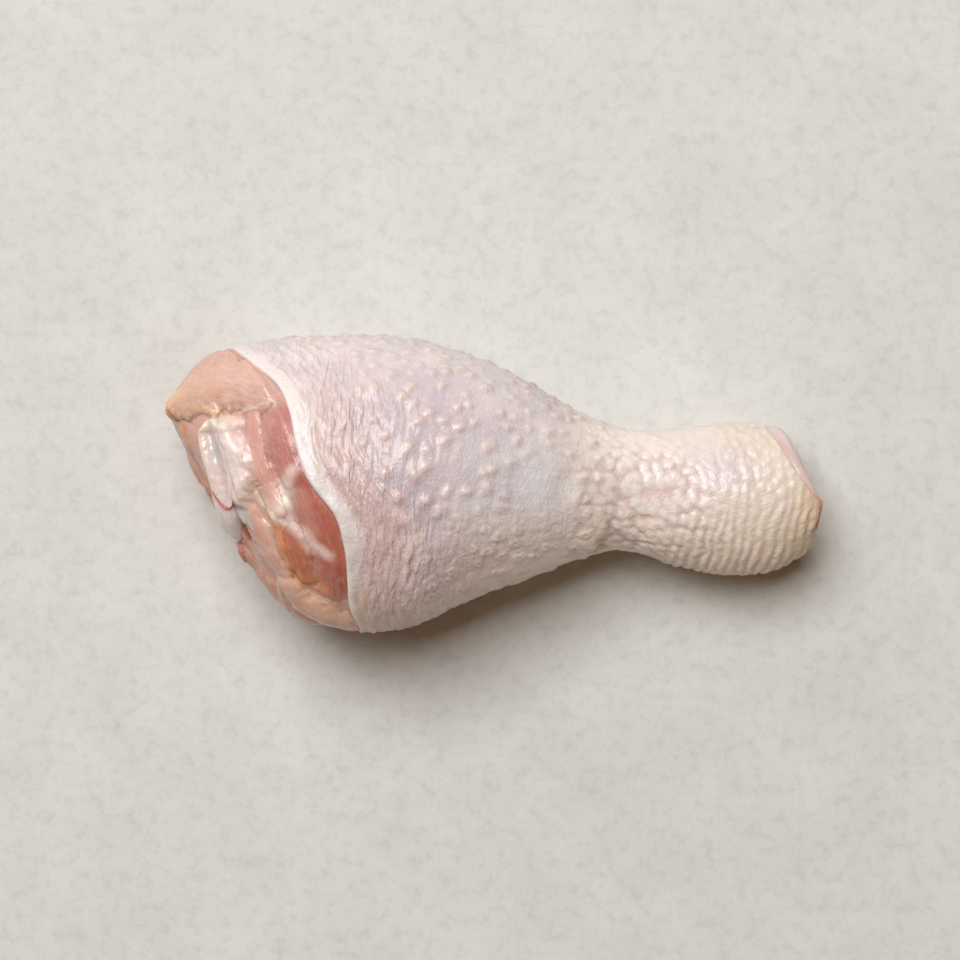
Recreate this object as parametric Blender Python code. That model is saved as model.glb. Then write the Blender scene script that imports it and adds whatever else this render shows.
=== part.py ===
"""Raw chicken drumstick, lying on its side: a sleeve of skin, the meat in it and the leg bone.

Metres, +Z up. The leg runs along X, from the cut knee at -X to the hock at +X, and rests on
the belly of the calf and on the hock. Every section is a rounded oval between four outlines.
"""

import bpy
import numpy as np

# Four outlines along the leg, in millimetres: place on X, the +Y side, the -Y side, top, bottom.
# The bottom line dips under the floor where the flesh flattens; those sections are cut at zero.
OUTLINES = (
    (-68.0, 21.5, -28.0, 39.0, 1.5),
    (-55.0, 26.6, -28.8, 43.0, 0.0),
    (-41.0, 28.8, -29.0, 45.4, -0.8),
    (-28.0, 29.3, -29.2, 46.5, -1.2),
    (-17.0, 28.5, -27.9, 46.0, -1.2),
    (-5.0, 25.4, -22.5, 43.4, -0.6),
    (6.0, 20.4, -18.7, 38.4, 1.2),
    (16.0, 14.5, -14.9, 32.0, 3.4),
    (25.0, 11.2, -13.1, 27.6, 4.2),
    (36.0, 11.3, -16.3, 26.0, 2.2),
    (48.0, 12.4, -18.3, 26.0, -0.5),
    (57.0, 11.9, -16.7, 25.0, -0.3),
    (62.0, 11.0, -13.8, 23.8, 1.2),
    (65.0, 10.4, -10.6, 22.2, 3.0),
)
ROUNDNESS = 2.15  # 2 is an ellipse, more is squarer

# Knee cut: a slanting line across the leg, which the skin edge leaves in a bow over the top.
KNEE_X = -40.7
KNEE_SLANT = -0.5
KNEE_MIDDLE_Y = 0.2  # middle and half width of the leg at the knee cut
KNEE_HALF_WIDTH = 28.4
KNEE_BOW_TOP = 7.0
KNEE_BOW_UNDER = 2.5
KNEE_BOW_LEAN = 0.45  # share by which the bow is longer on the +Y side
KNEE_BOW_POWER = 0.8  # under 1 makes the bow flatter over the top
KNEE_TIP = 3.4  # how far the front muscle bulges on the +Y side of the dome
DOME_OUT = (-1.0, -0.12, 0.0)  # the way that the knee's flesh swells

# Hock cut, slanting the same way, and how far the skin reaches at most.
HOCK_X = 60.0
HOCK_SLANT = -0.59
HOCK_MIDDLE_Y = -2.4
HOCK_HALF_WIDTH = 14.0
HOCK_LIMIT = 63.3

SKIN = 1.2  # thickness
RIM = 0.9  # how much the rolled knee edge stands up
RIM_WIDTH = 3.0  # how far along the leg it takes to fade
KNEE_ROUNDING = 1.1  # how far each end of the skin is rounded past its last row
HOCK_ROUNDING = 0.8
GAP = 0.32  # air between neighbouring pieces
HOCK_RECESS = 1.6  # how far the meat stays back from the skin's hock edge

# Bone: place on X, centre in Y and Z, half size across and half size up, slant of the ring.
BONE = (
    (-55.2, -1.4, 21.5, 12.2, 8.2, -0.506),
    (-52.4, -1.4, 21.5, 12.6, 8.6, -0.506),
    (-47.0, -1.2, 21.5, 11.4, 8.0, -0.45),
    (-41.0, -0.8, 21.2, 8.6, 6.6, -0.30),
    (-34.0, -0.4, 20.8, 6.0, 5.2, -0.15),
    (-24.0, 0.0, 20.0, 4.6, 4.3, 0.0),
    (0.0, 0.0, 18.0, 3.9, 3.7, 0.0),
    (26.0, -0.6, 15.6, 4.3, 4.0, -0.1),
    (40.0, -1.0, 13.8, 6.0, 5.4, -0.3),
    (50.0, -0.4, 12.8, 8.5, 7.4, -0.4),
    (56.0, 0.0, 12.4, 9.3, 8.0, -0.45),
    (59.8, 0.3, 12.4, 9.0, 7.6, -0.47),
)
KNEE_CROWN = 2.6  # how far each end of the bone swells past its last ring
HOCK_CROWN = 2.0
KNEE_MOUTH = 0.4  # how far each end of the meat's channel lies past the bone's last ring
HOCK_MOUTH = 2.2
HEAD_EASING = 0.09  # how much closer together the rings are in the two heads

COLUMNS = 40
SKIN_ROWS = 25
DOME_ROWS = 8
CHANNEL_ROWS = 15
BONE_COLUMNS = 20

MM = 0.001


def clear_scene():
    for obj in list(bpy.data.objects):
        bpy.data.objects.remove(obj, do_unlink=True)


def curve_through(table, column, x):
    """Smooth cubic through one column of a table of stations, read at the places x."""
    data = np.array(table, float)
    knots = data[:, 0]
    values = data[:, column]
    slopes = np.gradient(values, knots)
    x = np.clip(x, knots[0], knots[-1])
    i = np.clip(np.searchsorted(knots, x) - 1, 0, len(knots) - 2)
    step = knots[i + 1] - knots[i]
    t = (x - knots[i]) / step
    near = values[i] * (1 + 2 * t) * (1 - t) ** 2 + slopes[i] * step * t * (1 - t) ** 2
    far = values[i + 1] * t * t * (3 - 2 * t) - slopes[i + 1] * step * t * t * (1 - t)
    return near + far


def oval(angle):
    """Unit point of the rounded oval at an angle: across and up."""
    power = 2.0 / ROUNDNESS
    across = np.sign(np.cos(angle)) * np.abs(np.cos(angle)) ** power
    up = np.sign(np.sin(angle)) * np.abs(np.sin(angle)) ** power
    return across, up


def leg_point(x, angle):
    """Point of the leg's outside at x and angle, flattened where it meets the floor."""
    left = curve_through(OUTLINES, 1, x)
    right = curve_through(OUTLINES, 2, x)
    top = curve_through(OUTLINES, 3, x)
    bottom = curve_through(OUTLINES, 4, x)
    across, up = oval(angle)
    y = (left + right) / 2 + (left - right) / 2 * across
    z = (top + bottom) / 2 + (top - bottom) / 2 * up
    return np.stack([x, y, np.maximum(z, 0.0)], axis=-1)


def leg_normal(x, angle):
    """Outward unit normal of the leg's outside at x and angle."""
    along = leg_point(x + 0.6, angle) - leg_point(x - 0.6, angle)
    round_it = leg_point(x, angle + 0.05) - leg_point(x, angle - 0.05)
    normal = np.cross(round_it, along)
    return normal / np.linalg.norm(normal, axis=-1, keepdims=True)


def leg_layer(x, angle, offset):
    """Point a distance outside (or, if negative, inside) the leg's surface."""
    moved = leg_point(x, angle) + leg_normal(x, angle) * np.asarray(offset)[..., None]
    moved[..., 2] = np.maximum(moved[..., 2], 0.0)
    return moved


def across_at(angle):
    """Y of the leg's outside near the knee and near the hock, at an angle."""
    across, _ = oval(angle)
    return KNEE_MIDDLE_Y + KNEE_HALF_WIDTH * across, HOCK_MIDDLE_Y + HOCK_HALF_WIDTH * across


def cut_line(angle):
    """X of the straight knee cut and of the hock cut, at an angle."""
    knee_y, hock_y = across_at(angle)
    hock = np.minimum(HOCK_X + HOCK_SLANT * hock_y, HOCK_LIMIT)
    return KNEE_X + KNEE_SLANT * knee_y, hock


def skin_edge(angle):
    """X of the skin's knee edge, which bows away from the cut line over the top and below."""
    knee, _ = cut_line(angle)
    up = np.sin(angle)
    bow = np.where(up > 0, KNEE_BOW_TOP, KNEE_BOW_UNDER)
    lean = 1.0 + KNEE_BOW_LEAN * np.cos(angle)
    return knee + bow * np.abs(up) ** KNEE_BOW_POWER * lean


def sleeve_places(angle):
    """Rows of X from the skin's knee edge to a recess short of the hock, then the hock edge."""
    _, hock = cut_line(angle)
    share = np.linspace(0.0, 1.0, SKIN_ROWS - 1)[:, None]
    rows = skin_edge(angle)[None, :] * (1 - share) + (hock - HOCK_RECESS)[None, :] * share
    return np.concatenate([rows, hock[None, :]])


def angles(count):
    return np.arange(count) * 2 * np.pi / count


def skin_rows():
    """Outside from knee to hock, round the hock edge, inside back again, round the knee edge."""
    angle = angles(COLUMNS)
    x = sleeve_places(angle)
    turn = np.broadcast_to(angle, x.shape)
    bead = RIM * np.exp(-(((x - x[0]) / RIM_WIDTH) ** 2))
    outside = leg_layer(x, turn, bead)
    inside = leg_layer(x, turn, np.full(x.shape, -SKIN))[::-1]
    hock_edge = rolled_edge(outside[-1], inside[0], -HOCK_ROUNDING)
    knee_edge = rolled_edge(inside[-1], outside[0], KNEE_ROUNDING)
    return np.concatenate([outside, hock_edge, inside, knee_edge])


def rolled_edge(inner, outer, reach):
    """Three rows that round an end of the skin, reaching towards the knee."""
    rows = []
    for turn in (0.25, 0.5, 0.75):
        share = (1 - np.cos(turn * np.pi)) / 2
        row = inner * (1 - share) + outer * share
        row[:, 0] -= reach * np.sin(turn * np.pi)
        rows.append(row)
    return np.array(rows)


def bone_ring(station_x, angle, grow):
    """Ring of the bone at a place on its length, grown by some air."""
    y_mid = curve_through(BONE, 1, station_x)
    z_mid = curve_through(BONE, 2, station_x)
    wide = curve_through(BONE, 3, station_x) + grow
    high = curve_through(BONE, 4, station_x) + grow
    slant = curve_through(BONE, 5, station_x)
    y = wide * np.cos(angle)
    return np.stack([station_x + slant * y, y_mid + y, z_mid + high * np.sin(angle)], axis=-1)


def bone_stations(rows):
    """Places on the bone's length, closer together in the two heads."""
    share = np.linspace(0.0, 1.0, rows)
    eased = share - HEAD_EASING * np.sin(share * 2 * np.pi)
    first = BONE[0][0]
    last = BONE[-1][0]
    return first + (last - first) * eased


def dome_rows(edge, mouth):
    """Flesh that swells out of the knee cut and turns in to the bone's mouth."""
    out = np.array(DOME_OUT) / np.linalg.norm(DOME_OUT)
    angle = angles(COLUMNS)
    side = np.cos(angle)
    power = 2.0 / (2.0 + 0.5 * side**2 - 0.2 * np.maximum(np.sin(angle), 0.0))
    edge_out = edge @ out
    mouth_out = mouth @ out
    edge_flat = edge - edge_out[:, None] * out
    mouth_flat = mouth - mouth_out[:, None] * out
    rows = []
    for turn in np.linspace(0.0, 1.0, DOME_ROWS + 1)[1:-1] * np.pi / 2:
        flat = np.cos(turn) ** power
        swell = np.sin(turn) ** power
        place = mouth_flat + (edge_flat - mouth_flat) * flat[:, None]
        reach = edge_out + (mouth_out - edge_out) * swell
        reach += KNEE_TIP * np.maximum(side, 0.0) * np.sin(turn * 2) ** 0.7
        rows.append(place + reach[:, None] * out)
    return np.array(rows)


def meat_rows():
    """Outside from the hock to the knee, the dome, the bone's channel, and the hock face."""
    angle = angles(COLUMNS)
    x = sleeve_places(angle)[-2::-1]
    outside = leg_layer(x, np.broadcast_to(angle, x.shape), np.full(x.shape, -SKIN - GAP))
    stations = bone_stations(CHANNEL_ROWS)
    stations[0] -= KNEE_MOUTH
    stations[-1] -= HOCK_MOUTH
    channel = np.array([bone_ring(np.full(COLUMNS, s), angle, GAP) for s in stations])
    dome = dome_rows(outside[-1], channel[0])
    hock_face = (channel[-1] + outside[0]) / 2
    return np.concatenate([outside, dome, channel, hock_face[None]])


def bone_rows():
    """Crown of the knee head, rings along the shaft, crown of the hock head."""
    angle = angles(BONE_COLUMNS)
    stations = bone_stations(CHANNEL_ROWS)
    rings = [bone_ring(np.full(BONE_COLUMNS, s), angle, 0.0) for s in stations]
    knee = crown(rings[0], np.array([-1.0, KNEE_SLANT, 0.0]), KNEE_CROWN)[::-1]
    hock = crown(rings[-1], np.array([1.0, -HOCK_SLANT, 0.0]), HOCK_CROWN)
    return np.concatenate([knee, np.array(rings), hock])


def crown(ring, direction, height):
    """Rings that close an end in a low dome, all but its last point."""
    middle = ring.mean(axis=0)
    direction = direction / np.linalg.norm(direction)
    rows = []
    for turn in np.array([0.3, 0.6, 0.84]) * np.pi / 2:
        row = middle + (ring - middle) * np.cos(turn)
        rows.append(row + direction * height * np.sin(turn))
    return np.array(rows)


def band_faces(rows, columns, looped):
    """Quads between rows of a grid that closes on itself round the leg."""
    last = rows if looped else rows - 1
    i, j = np.meshgrid(np.arange(last), np.arange(columns), indexing="ij")
    below = (i + 1) % rows
    beside = (j + 1) % columns
    corners = (i * columns + j, i * columns + beside, below * columns + beside)
    return np.stack([*corners, below * columns + j], axis=-1).reshape(-1, 4).tolist()


def fan_faces(first, columns, tip, turned):
    """Triangles from a ring to a tip."""
    faces = []
    for j in range(columns):
        pair = (first + j, first + (j + 1) % columns)
        faces.append((pair[1], pair[0], tip) if turned else (pair[0], pair[1], tip))
    return faces


def volume_of(points, faces):
    """Six times the signed volume inside the faces."""
    total = 0.0
    for face in faces:
        for k in range(1, len(face) - 1):
            corners = (points[face[0]], points[face[k]], points[face[k + 1]])
            total += np.dot(corners[0], np.cross(corners[1], corners[2]))
    return total


def solid(name, points, faces, colour, roughness):
    """A closed body with its faces out, its own material and smooth shading."""
    if volume_of(points, faces) < 0:
        faces = [tuple(reversed(face)) for face in faces]
    mesh = bpy.data.meshes.new(name)
    mesh.from_pydata((points * MM).tolist(), [], [tuple(face) for face in faces])
    mesh.update()
    mesh.polygons.foreach_set("use_smooth", [True] * len(mesh.polygons))
    obj = bpy.data.objects.new(name, mesh)
    bpy.context.scene.collection.objects.link(obj)
    material = bpy.data.materials.new(name)
    material.use_nodes = True
    shader = material.node_tree.nodes["Principled BSDF"]
    shader.inputs["Base Color"].default_value = (*colour, 1.0)
    shader.inputs["Roughness"].default_value = roughness
    shader.inputs["Metallic"].default_value = 0.0
    mesh.materials.append(material)
    return obj


def looped_body(rows):
    """Points and faces of rows that close both ways, like a ring doughnut."""
    count, columns, _ = rows.shape
    return rows.reshape(-1, 3), band_faces(count, columns, True)


def capped_body(rows, tips):
    """Points and faces of rows closed by a tip at each end."""
    count, columns, _ = rows.shape
    faces = band_faces(count, columns, False)
    faces += fan_faces(0, columns, count * columns, True)
    faces += fan_faces((count - 1) * columns, columns, count * columns + 1, False)
    return np.concatenate([rows.reshape(-1, 3), np.array(tips)]), faces


def bone_tips(rows):
    """Last point of each crown, a little past its smallest ring."""
    knee = rows[0].mean(axis=0) + np.array([-0.08, -0.04, 0.0])
    hock = rows[-1].mean(axis=0) + np.array([0.04, 0.02, 0.0])
    return knee, hock


def main():
    clear_scene()
    skin = looped_body(skin_rows())
    meat = looped_body(meat_rows())
    rows = bone_rows()
    bone = capped_body(rows, bone_tips(rows))
    every = np.concatenate([skin[0], meat[0], bone[0]])
    shift = (every.min(axis=0) + every.max(axis=0)) / 2
    shift[2] = every[:, 2].min()
    solid("skin", skin[0] - shift, skin[1], (0.80, 0.62, 0.54), 0.40)
    solid("meat", meat[0] - shift, meat[1], (0.62, 0.26, 0.20), 0.35)
    solid("bone", bone[0] - shift, bone[1], (0.80, 0.70, 0.60), 0.40)


main()
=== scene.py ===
"""Looks of a raw chicken drumstick that lies on its side: skin, knee flesh, bone ends, studio.

Shapes are worked out in millimetres in the leg's own coordinates: X from the cut knee to the hock,
Y towards the front of the leg, Z up from the surface it rests on. Leg.place() turns them into the
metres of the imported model. A shape is a function of two parameters on a grid of rows and columns.
"""

import logging
import math
from dataclasses import dataclass
from enum import Enum
from typing import NamedTuple, Sequence

import bpy
import numpy as np
from numpy.typing import NDArray
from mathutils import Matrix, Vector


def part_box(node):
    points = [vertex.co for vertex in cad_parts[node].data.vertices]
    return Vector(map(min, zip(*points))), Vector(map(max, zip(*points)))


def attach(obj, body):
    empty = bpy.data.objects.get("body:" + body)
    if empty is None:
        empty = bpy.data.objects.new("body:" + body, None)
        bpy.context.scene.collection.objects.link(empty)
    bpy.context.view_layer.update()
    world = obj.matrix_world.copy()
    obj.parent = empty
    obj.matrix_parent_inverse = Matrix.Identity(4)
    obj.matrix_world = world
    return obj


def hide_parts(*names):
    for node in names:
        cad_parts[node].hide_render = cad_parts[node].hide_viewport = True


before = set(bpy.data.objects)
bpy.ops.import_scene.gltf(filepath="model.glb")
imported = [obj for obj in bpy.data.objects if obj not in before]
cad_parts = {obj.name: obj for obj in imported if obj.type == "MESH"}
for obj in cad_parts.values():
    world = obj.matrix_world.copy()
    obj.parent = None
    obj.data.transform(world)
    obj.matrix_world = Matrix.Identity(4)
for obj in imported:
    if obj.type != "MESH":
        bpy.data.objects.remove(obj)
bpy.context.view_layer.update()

LOG = logging.getLogger("drumstick")
MM = 0.001
WET_IOR = 1.42
COAT_ROUGHNESS = 0.12
PATCH_SCALE = 420.0

HASH_PRIMES = (374761393, 668265263, 1440662683)
HASH_SEED = 974634777
HASH_ROUNDS = ((13, 1274126177), (15, 2246822519))
HASH_BITS = 0xFFFFFFFF

Array = NDArray[np.float64]
Table = tuple[tuple[float, ...], ...]


# ---------------------------------------------------------------- numbers


def fade(low: float, high: float, value: Array) -> Array:
    """Smooth step from 0 at low to 1 at high, with level ends: 3t squared less 2t cubed.

    Args:
        low: value at which the step starts; it may be above high, for a falling step.
        high: value at which it ends.
        value: where it is read.

    Returns:
        The share, from 0 to 1.
    """
    t = np.clip((value - low) / (high - low), 0.0, 1.0)
    return t * t * (3.0 - 2.0 * t)


def bell(value: Array, width: float) -> Array:
    """Bell curve of a width: e to the minus square of value over width."""
    return np.exp(-((value / width) ** 2))


def through(table: Sequence[Sequence[float]], column: int, x: Array) -> Array:
    """Smooth cubic through one column of a table, read at x.

    Each span is a Hermite cubic whose slopes are the mean of the neighbouring spans' slopes.

    Args:
        table: rows that start with a place and go on with the values there.
        column: which value.
        x: the places to read, held at the table's ends.

    Returns:
        The value at each x.
    """
    data = np.array(table, float)
    knots, values = data[:, 0], data[:, column]
    slopes = np.gradient(values, knots)
    x = np.clip(x, knots[0], knots[-1])
    i = np.clip(np.searchsorted(knots, x) - 1, 0, len(knots) - 2)
    step = knots[i + 1] - knots[i]
    t = (x - knots[i]) / step
    near = values[i] * (1 + 2 * t) * (1 - t) ** 2 + slopes[i] * step * t * (1 - t) ** 2
    far = values[i + 1] * t * t * (3 - 2 * t) - slopes[i + 1] * step * t * t * (1 - t)
    return near + far


def along(points: Sequence[Sequence[float]], count: int) -> Array:
    """Smooth curve through a few points.

    Args:
        points: the places it passes.
        count: how many samples, evenly spread over its spans.

    Returns:
        The samples.
    """
    data = np.array(points, float)
    table = np.column_stack([np.arange(len(data)), data])
    t = np.linspace(0.0, len(data) - 1.0, count)
    return np.stack([through(table, k + 1, t) for k in range(data.shape[1])], axis=-1)


def crowded(columns: int, crowding: float) -> Array:
    """Column angles from the floor round to the floor, closer together on top: a turn plus a cosine."""
    turn = np.linspace(-0.5 * np.pi, 1.5 * np.pi, columns, endpoint=False)
    return turn + crowding * np.cos(turn)


def squared(angle: Array, squareness: float) -> tuple[Array, Array]:
    """Unit point of a squared circle: the cosine and the sine, each to a power with its sign kept."""
    waves = (np.cos(angle), np.sin(angle))
    return tuple(np.sign(wave) * np.abs(wave) ** (2.0 / squareness) for wave in waves)


def unit(vectors: Array) -> Array:
    """Vectors made one long."""
    return vectors / np.maximum(np.linalg.norm(vectors, axis=-1, keepdims=True), 1e-9)


def hashed(x: Array, y: Array, z: Array, seed: int) -> Array:
    """Even chance value for each whole-number place: products with primes, then shifts and xors.

    Args:
        x: first coordinate.
        y: second coordinate.
        z: third coordinate.
        seed: which values.

    Returns:
        Values from 0 to 1.
    """
    total = sum(axis.astype(np.int64) * prime for axis, prime in zip((x, y, z), HASH_PRIMES))
    h = ((total + seed * HASH_SEED) & HASH_BITS).astype(np.uint64)
    for shift, factor in HASH_ROUNDS:
        h = ((h ^ (h >> np.uint64(shift))) * np.uint64(factor)) & np.uint64(HASH_BITS)
    return (h ^ (h >> np.uint64(16))).astype(float) / (HASH_BITS + 1.0)


def noise(points: Array, seed: int) -> Array:
    """Gradient noise in space, about -1 to 1, with features about one unit across.

    Each lattice corner has a slope chosen by the hash; the eight corners' planes are mixed by
    fifth-power fades.

    Args:
        points: places, with the three coordinates last.
        seed: which noise.

    Returns:
        The noise at each place.
    """
    base = np.floor(points)
    part = points - base
    w = part**3 * (part * (part * 6 - 15) + 10)
    total = np.zeros(points.shape[:-1])
    for corner in range(8):
        step = np.array([corner & 1, corner >> 1 & 1, corner >> 2 & 1], float)
        place = base + step
        cell = (place[..., 0], place[..., 1], place[..., 2])
        slope = np.stack([hashed(*cell, seed * 3 + k) * 2 - 1 for k in range(3)], axis=-1)
        share = np.prod(np.where(step > 0, w, 1 - w), axis=-1)
        total += share * np.sum(slope * (part - step), axis=-1)
    return total * 1.5


def flat_noise(u: Array, v: Array, seed: int) -> Array:
    """Noise of two parameters, a slice of the noise in space."""
    return noise(np.stack([u, v, np.full(u.shape, 0.37)], axis=-1), seed)


class Cells(NamedTuple):
    """Cell pattern: distance to the nearest centre, to the second, and a chance value."""

    near: Array
    second: Array
    chance: Array


def cells(u: Array, v: Array, jitter: float, seed: int) -> Cells:
    """Cells round the points of a staggered lattice that are each moved a little by chance.

    Args:
        u: first parameter, in cells.
        v: second parameter, in cells.
        jitter: how far a centre may move, in cells.
        seed: which pattern.

    Returns:
        The distances in cells, and the nearest cell's chance value.
    """
    row = np.floor(v)
    best = np.full(u.shape, 9.0)
    second = np.full(u.shape, 9.0)
    chance = np.zeros(u.shape)
    zero = np.zeros(u.shape)
    for dv in (-1, 0, 1):
        r = row + dv
        shift = np.where(r % 2 > 0, 0.5, 0.0)
        column = np.floor(u - shift)
        for du in (-1, 0, 1):
            c = column + du
            x = c + shift + 0.5 + (hashed(c, r, zero, seed) - 0.5) * jitter
            y = r + 0.5 + (hashed(c, r, zero, seed + 1) - 0.5) * jitter
            far = np.hypot(u - x, v - y)
            closer = far < best
            second = np.where(closer, best, np.minimum(second, far))
            chance = np.where(closer, hashed(c, r, zero, seed + 2), chance)
            best = np.minimum(best, far)
    return Cells(best, second, chance)


def beads(u: Array, v: Array, jitter: float, seed: int) -> Cells:
    """Soft swellings round scattered centres, with rounded valleys between them.

    The distance is a smooth minimum of the nearest two, less the logarithm of one plus e to minus
    eight times their difference over eight, and the height a bell of it.

    Args:
        u: first parameter, in swellings.
        v: second parameter, in swellings.
        jitter: how far a centre may move, in swellings.
        seed: which pattern.

    Returns:
        The height from 0 to 1 as near, the valley from 0 to 1 as second, and the chance value.
    """
    grid = cells(u, v, jitter, seed)
    apart = grid.second - grid.near
    soft = grid.near - np.log1p(np.exp(-8.0 * apart)) / 8.0
    return Cells(bell(soft, 0.42), bell(apart, 0.22), grid.chance)


# ---------------------------------------------------------------- colours


class Tone(Enum):
    """Colours of the flesh, linear red, green and blue."""

    WHITE_SKIN = (0.86, 0.77, 0.73)
    LILAC_SKIN = (0.70, 0.615, 0.65)
    CREAM_SKIN = (0.83, 0.70, 0.57)
    YELLOW_SKIN = (0.78, 0.61, 0.42)
    PINK_SKIN = (0.69, 0.45, 0.43)
    PEACH_SKIN = (0.77, 0.58, 0.53)
    BROWN_SKIN = (0.50, 0.29, 0.19)
    GREY_SKIN = (0.72, 0.71, 0.74)
    PEACH_MEAT = (0.72, 0.455, 0.345)
    ROSE_MEAT = (0.72, 0.475, 0.415)
    PINK_MEAT = (0.71, 0.39, 0.33)
    MAGENTA_MEAT = (0.55, 0.23, 0.21)
    DARK_MEAT = (0.45, 0.13, 0.085)
    DULL_MEAT = (0.62, 0.30, 0.18)
    ORANGE_FAT = (0.71, 0.27, 0.09)
    YELLOW_FAT = (0.82, 0.54, 0.34)
    WHITE_FAT = (0.86, 0.71, 0.62)
    PALE_FAT = (0.83, 0.62, 0.56)
    FASCIA = (0.77, 0.52, 0.48)
    CARTILAGE = (0.84, 0.71, 0.57)
    # blue-grey cartilage, also used as painted shade in the plate's hollow
    BLUE_CARTILAGE_AND_SHADE = (0.60, 0.57, 0.55)
    OLIVE_CARTILAGE = (0.66, 0.53, 0.38)
    LILAC_CARTILAGE = (0.78, 0.61, 0.57)
    BLOOD = (0.46, 0.11, 0.08)
    RUST = (0.56, 0.23, 0.10)


def tinted(shape: tuple[int, ...], tone: Tone) -> Array:
    """A field of one colour."""
    return np.broadcast_to(np.array(tone.value), (*shape, 3)).copy()


def mixed(colour: Array, tone: Tone, share: Array) -> Array:
    """Colour moved towards a tone by a share from 0 to 1."""
    share = np.clip(share, 0.0, 1.0)[..., None]
    return colour * (1 - share) + np.array(tone.value) * share


# ---------------------------------------------------------------- the leg's form


@dataclass(frozen=True)
class Leg:
    """Outside of the leg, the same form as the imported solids.

    Each outline row holds the place on X, the +Y side, the -Y side, the top and the bottom.
    A cut is given by its place on X, the middle and the half width of the leg there, and its slant.
    """

    shift: tuple[float, float] = (0.0, 0.0)
    roundness: float = 2.15
    knee_cut: tuple[float, float, float] = (-40.7, 0.2, 28.4)
    knee_slant: float = -0.5
    bow_top: float = 7.0
    bow_under: float = 2.5
    bow_lean: float = 0.45
    bow_power: float = 0.8
    hock_cut: tuple[float, float, float] = (60.0, -2.4, 14.0)
    hock_slant: float = -0.59
    hock_limit: float = 63.3
    outlines: tuple[tuple[float, ...], ...] = (
        (-68.0, 21.5, -28.0, 39.0, 1.5),
        (-55.0, 26.6, -28.8, 43.0, 0.0),
        (-41.0, 28.8, -29.0, 45.4, -0.8),
        (-28.0, 29.3, -29.2, 46.5, -1.2),
        (-17.0, 28.5, -27.9, 46.0, -1.2),
        (-5.0, 25.4, -22.5, 43.4, -0.6),
        (6.0, 20.4, -18.7, 38.4, 1.2),
        (16.0, 14.5, -14.9, 32.0, 3.4),
        (25.0, 11.2, -13.1, 27.6, 4.2),
        (36.0, 11.3, -16.3, 26.0, 2.2),
        (48.0, 12.4, -18.3, 26.0, -0.5),
        (57.0, 11.9, -16.7, 25.0, -0.3),
        (62.0, 11.0, -13.8, 23.8, 1.2),
        (65.0, 10.4, -10.6, 22.2, 3.0),
    )

    def oval(self, angle: Array) -> tuple[Array, Array]:
        """Unit point of the leg's squared oval."""
        return squared(angle, self.roundness)

    def outline(self, x: Array) -> list[Array]:
        """The +Y side, the -Y side, the top and the bottom at a place on X."""
        return [through(self.outlines, k, x) for k in (1, 2, 3, 4)]

    def point(self, x: Array, angle: Array) -> Array:
        """Point of the outside: the oval between the four outlines, flat at the floor.

        Args:
            x: places on X.
            angle: angles round the leg, from +Y over the top.

        Returns:
            The points.
        """
        side, back, top, low = self.outline(x)
        across, up = self.oval(angle)
        y = (side + back) / 2 + (side - back) / 2 * across
        z = (top + low) / 2 + (top - low) / 2 * up
        return np.stack([x, y, np.maximum(z, 0.0)], axis=-1)

    def arc(self, x: Array, angle: Array) -> Array:
        """Distance round the leg from its top, below zero towards +Y: mean half width times the angle."""
        side, back, top, low = self.outline(x)
        return (side - back + top - low) / 4 * (angle - np.pi / 2)

    def normal(self, x: Array, angle: Array) -> Array:
        """Outward unit normal, from the cross product of two short steps on the outside.

        Args:
            x: places on X.
            angle: angles round the leg.

        Returns:
            The normals.
        """
        along_it = self.point(x + 0.6, angle) - self.point(x - 0.6, angle)
        round_it = self.point(x, angle + 0.05) - self.point(x, angle - 0.05)
        return unit(np.cross(round_it, along_it))

    def layer(self, x: Array, angle: Array, height: Array) -> Array:
        """Point a height above the outside, never under the floor.

        Args:
            x: places on X.
            angle: angles round the leg.
            height: how far out, in millimetres.

        Returns:
            The points.
        """
        moved = self.point(x, angle) + self.normal(x, angle) * np.asarray(height)[..., None]
        moved[..., 2] = np.maximum(moved[..., 2], 0.0)
        return moved

    def knee_edge(self, angle: Array) -> Array:
        """X of the skin's edge at the knee: a slanting cut, bowed over the top and below.

        Args:
            angle: angles round the leg.

        Returns:
            The edge's places on X.
        """
        start, middle, half = self.knee_cut
        across, up = self.oval(angle)[0], np.sin(angle)
        bow = np.where(up > 0, self.bow_top, self.bow_under)
        cut = start + self.knee_slant * (middle + half * across)
        return cut + bow * np.abs(up) ** self.bow_power * (1.0 + self.bow_lean * np.cos(angle))

    def hock_edge(self, angle: Array) -> Array:
        """X of the skin's edge at the hock: a slanting cut, held at its limit.

        Args:
            angle: angles round the leg.

        Returns:
            The edge's places on X.
        """
        start, middle, half = self.hock_cut
        cut = start + self.hock_slant * (middle + half * self.oval(angle)[0])
        return np.minimum(cut, self.hock_limit)

    def place(self, points: Array) -> Array:
        """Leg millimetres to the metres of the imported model.

        Args:
            points: points of the leg.

        Returns:
            The same points in the shared frame.
        """
        moved = points.copy()
        moved[..., 0] -= self.shift[0]
        moved[..., 1] -= self.shift[1]
        return moved * MM


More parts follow.
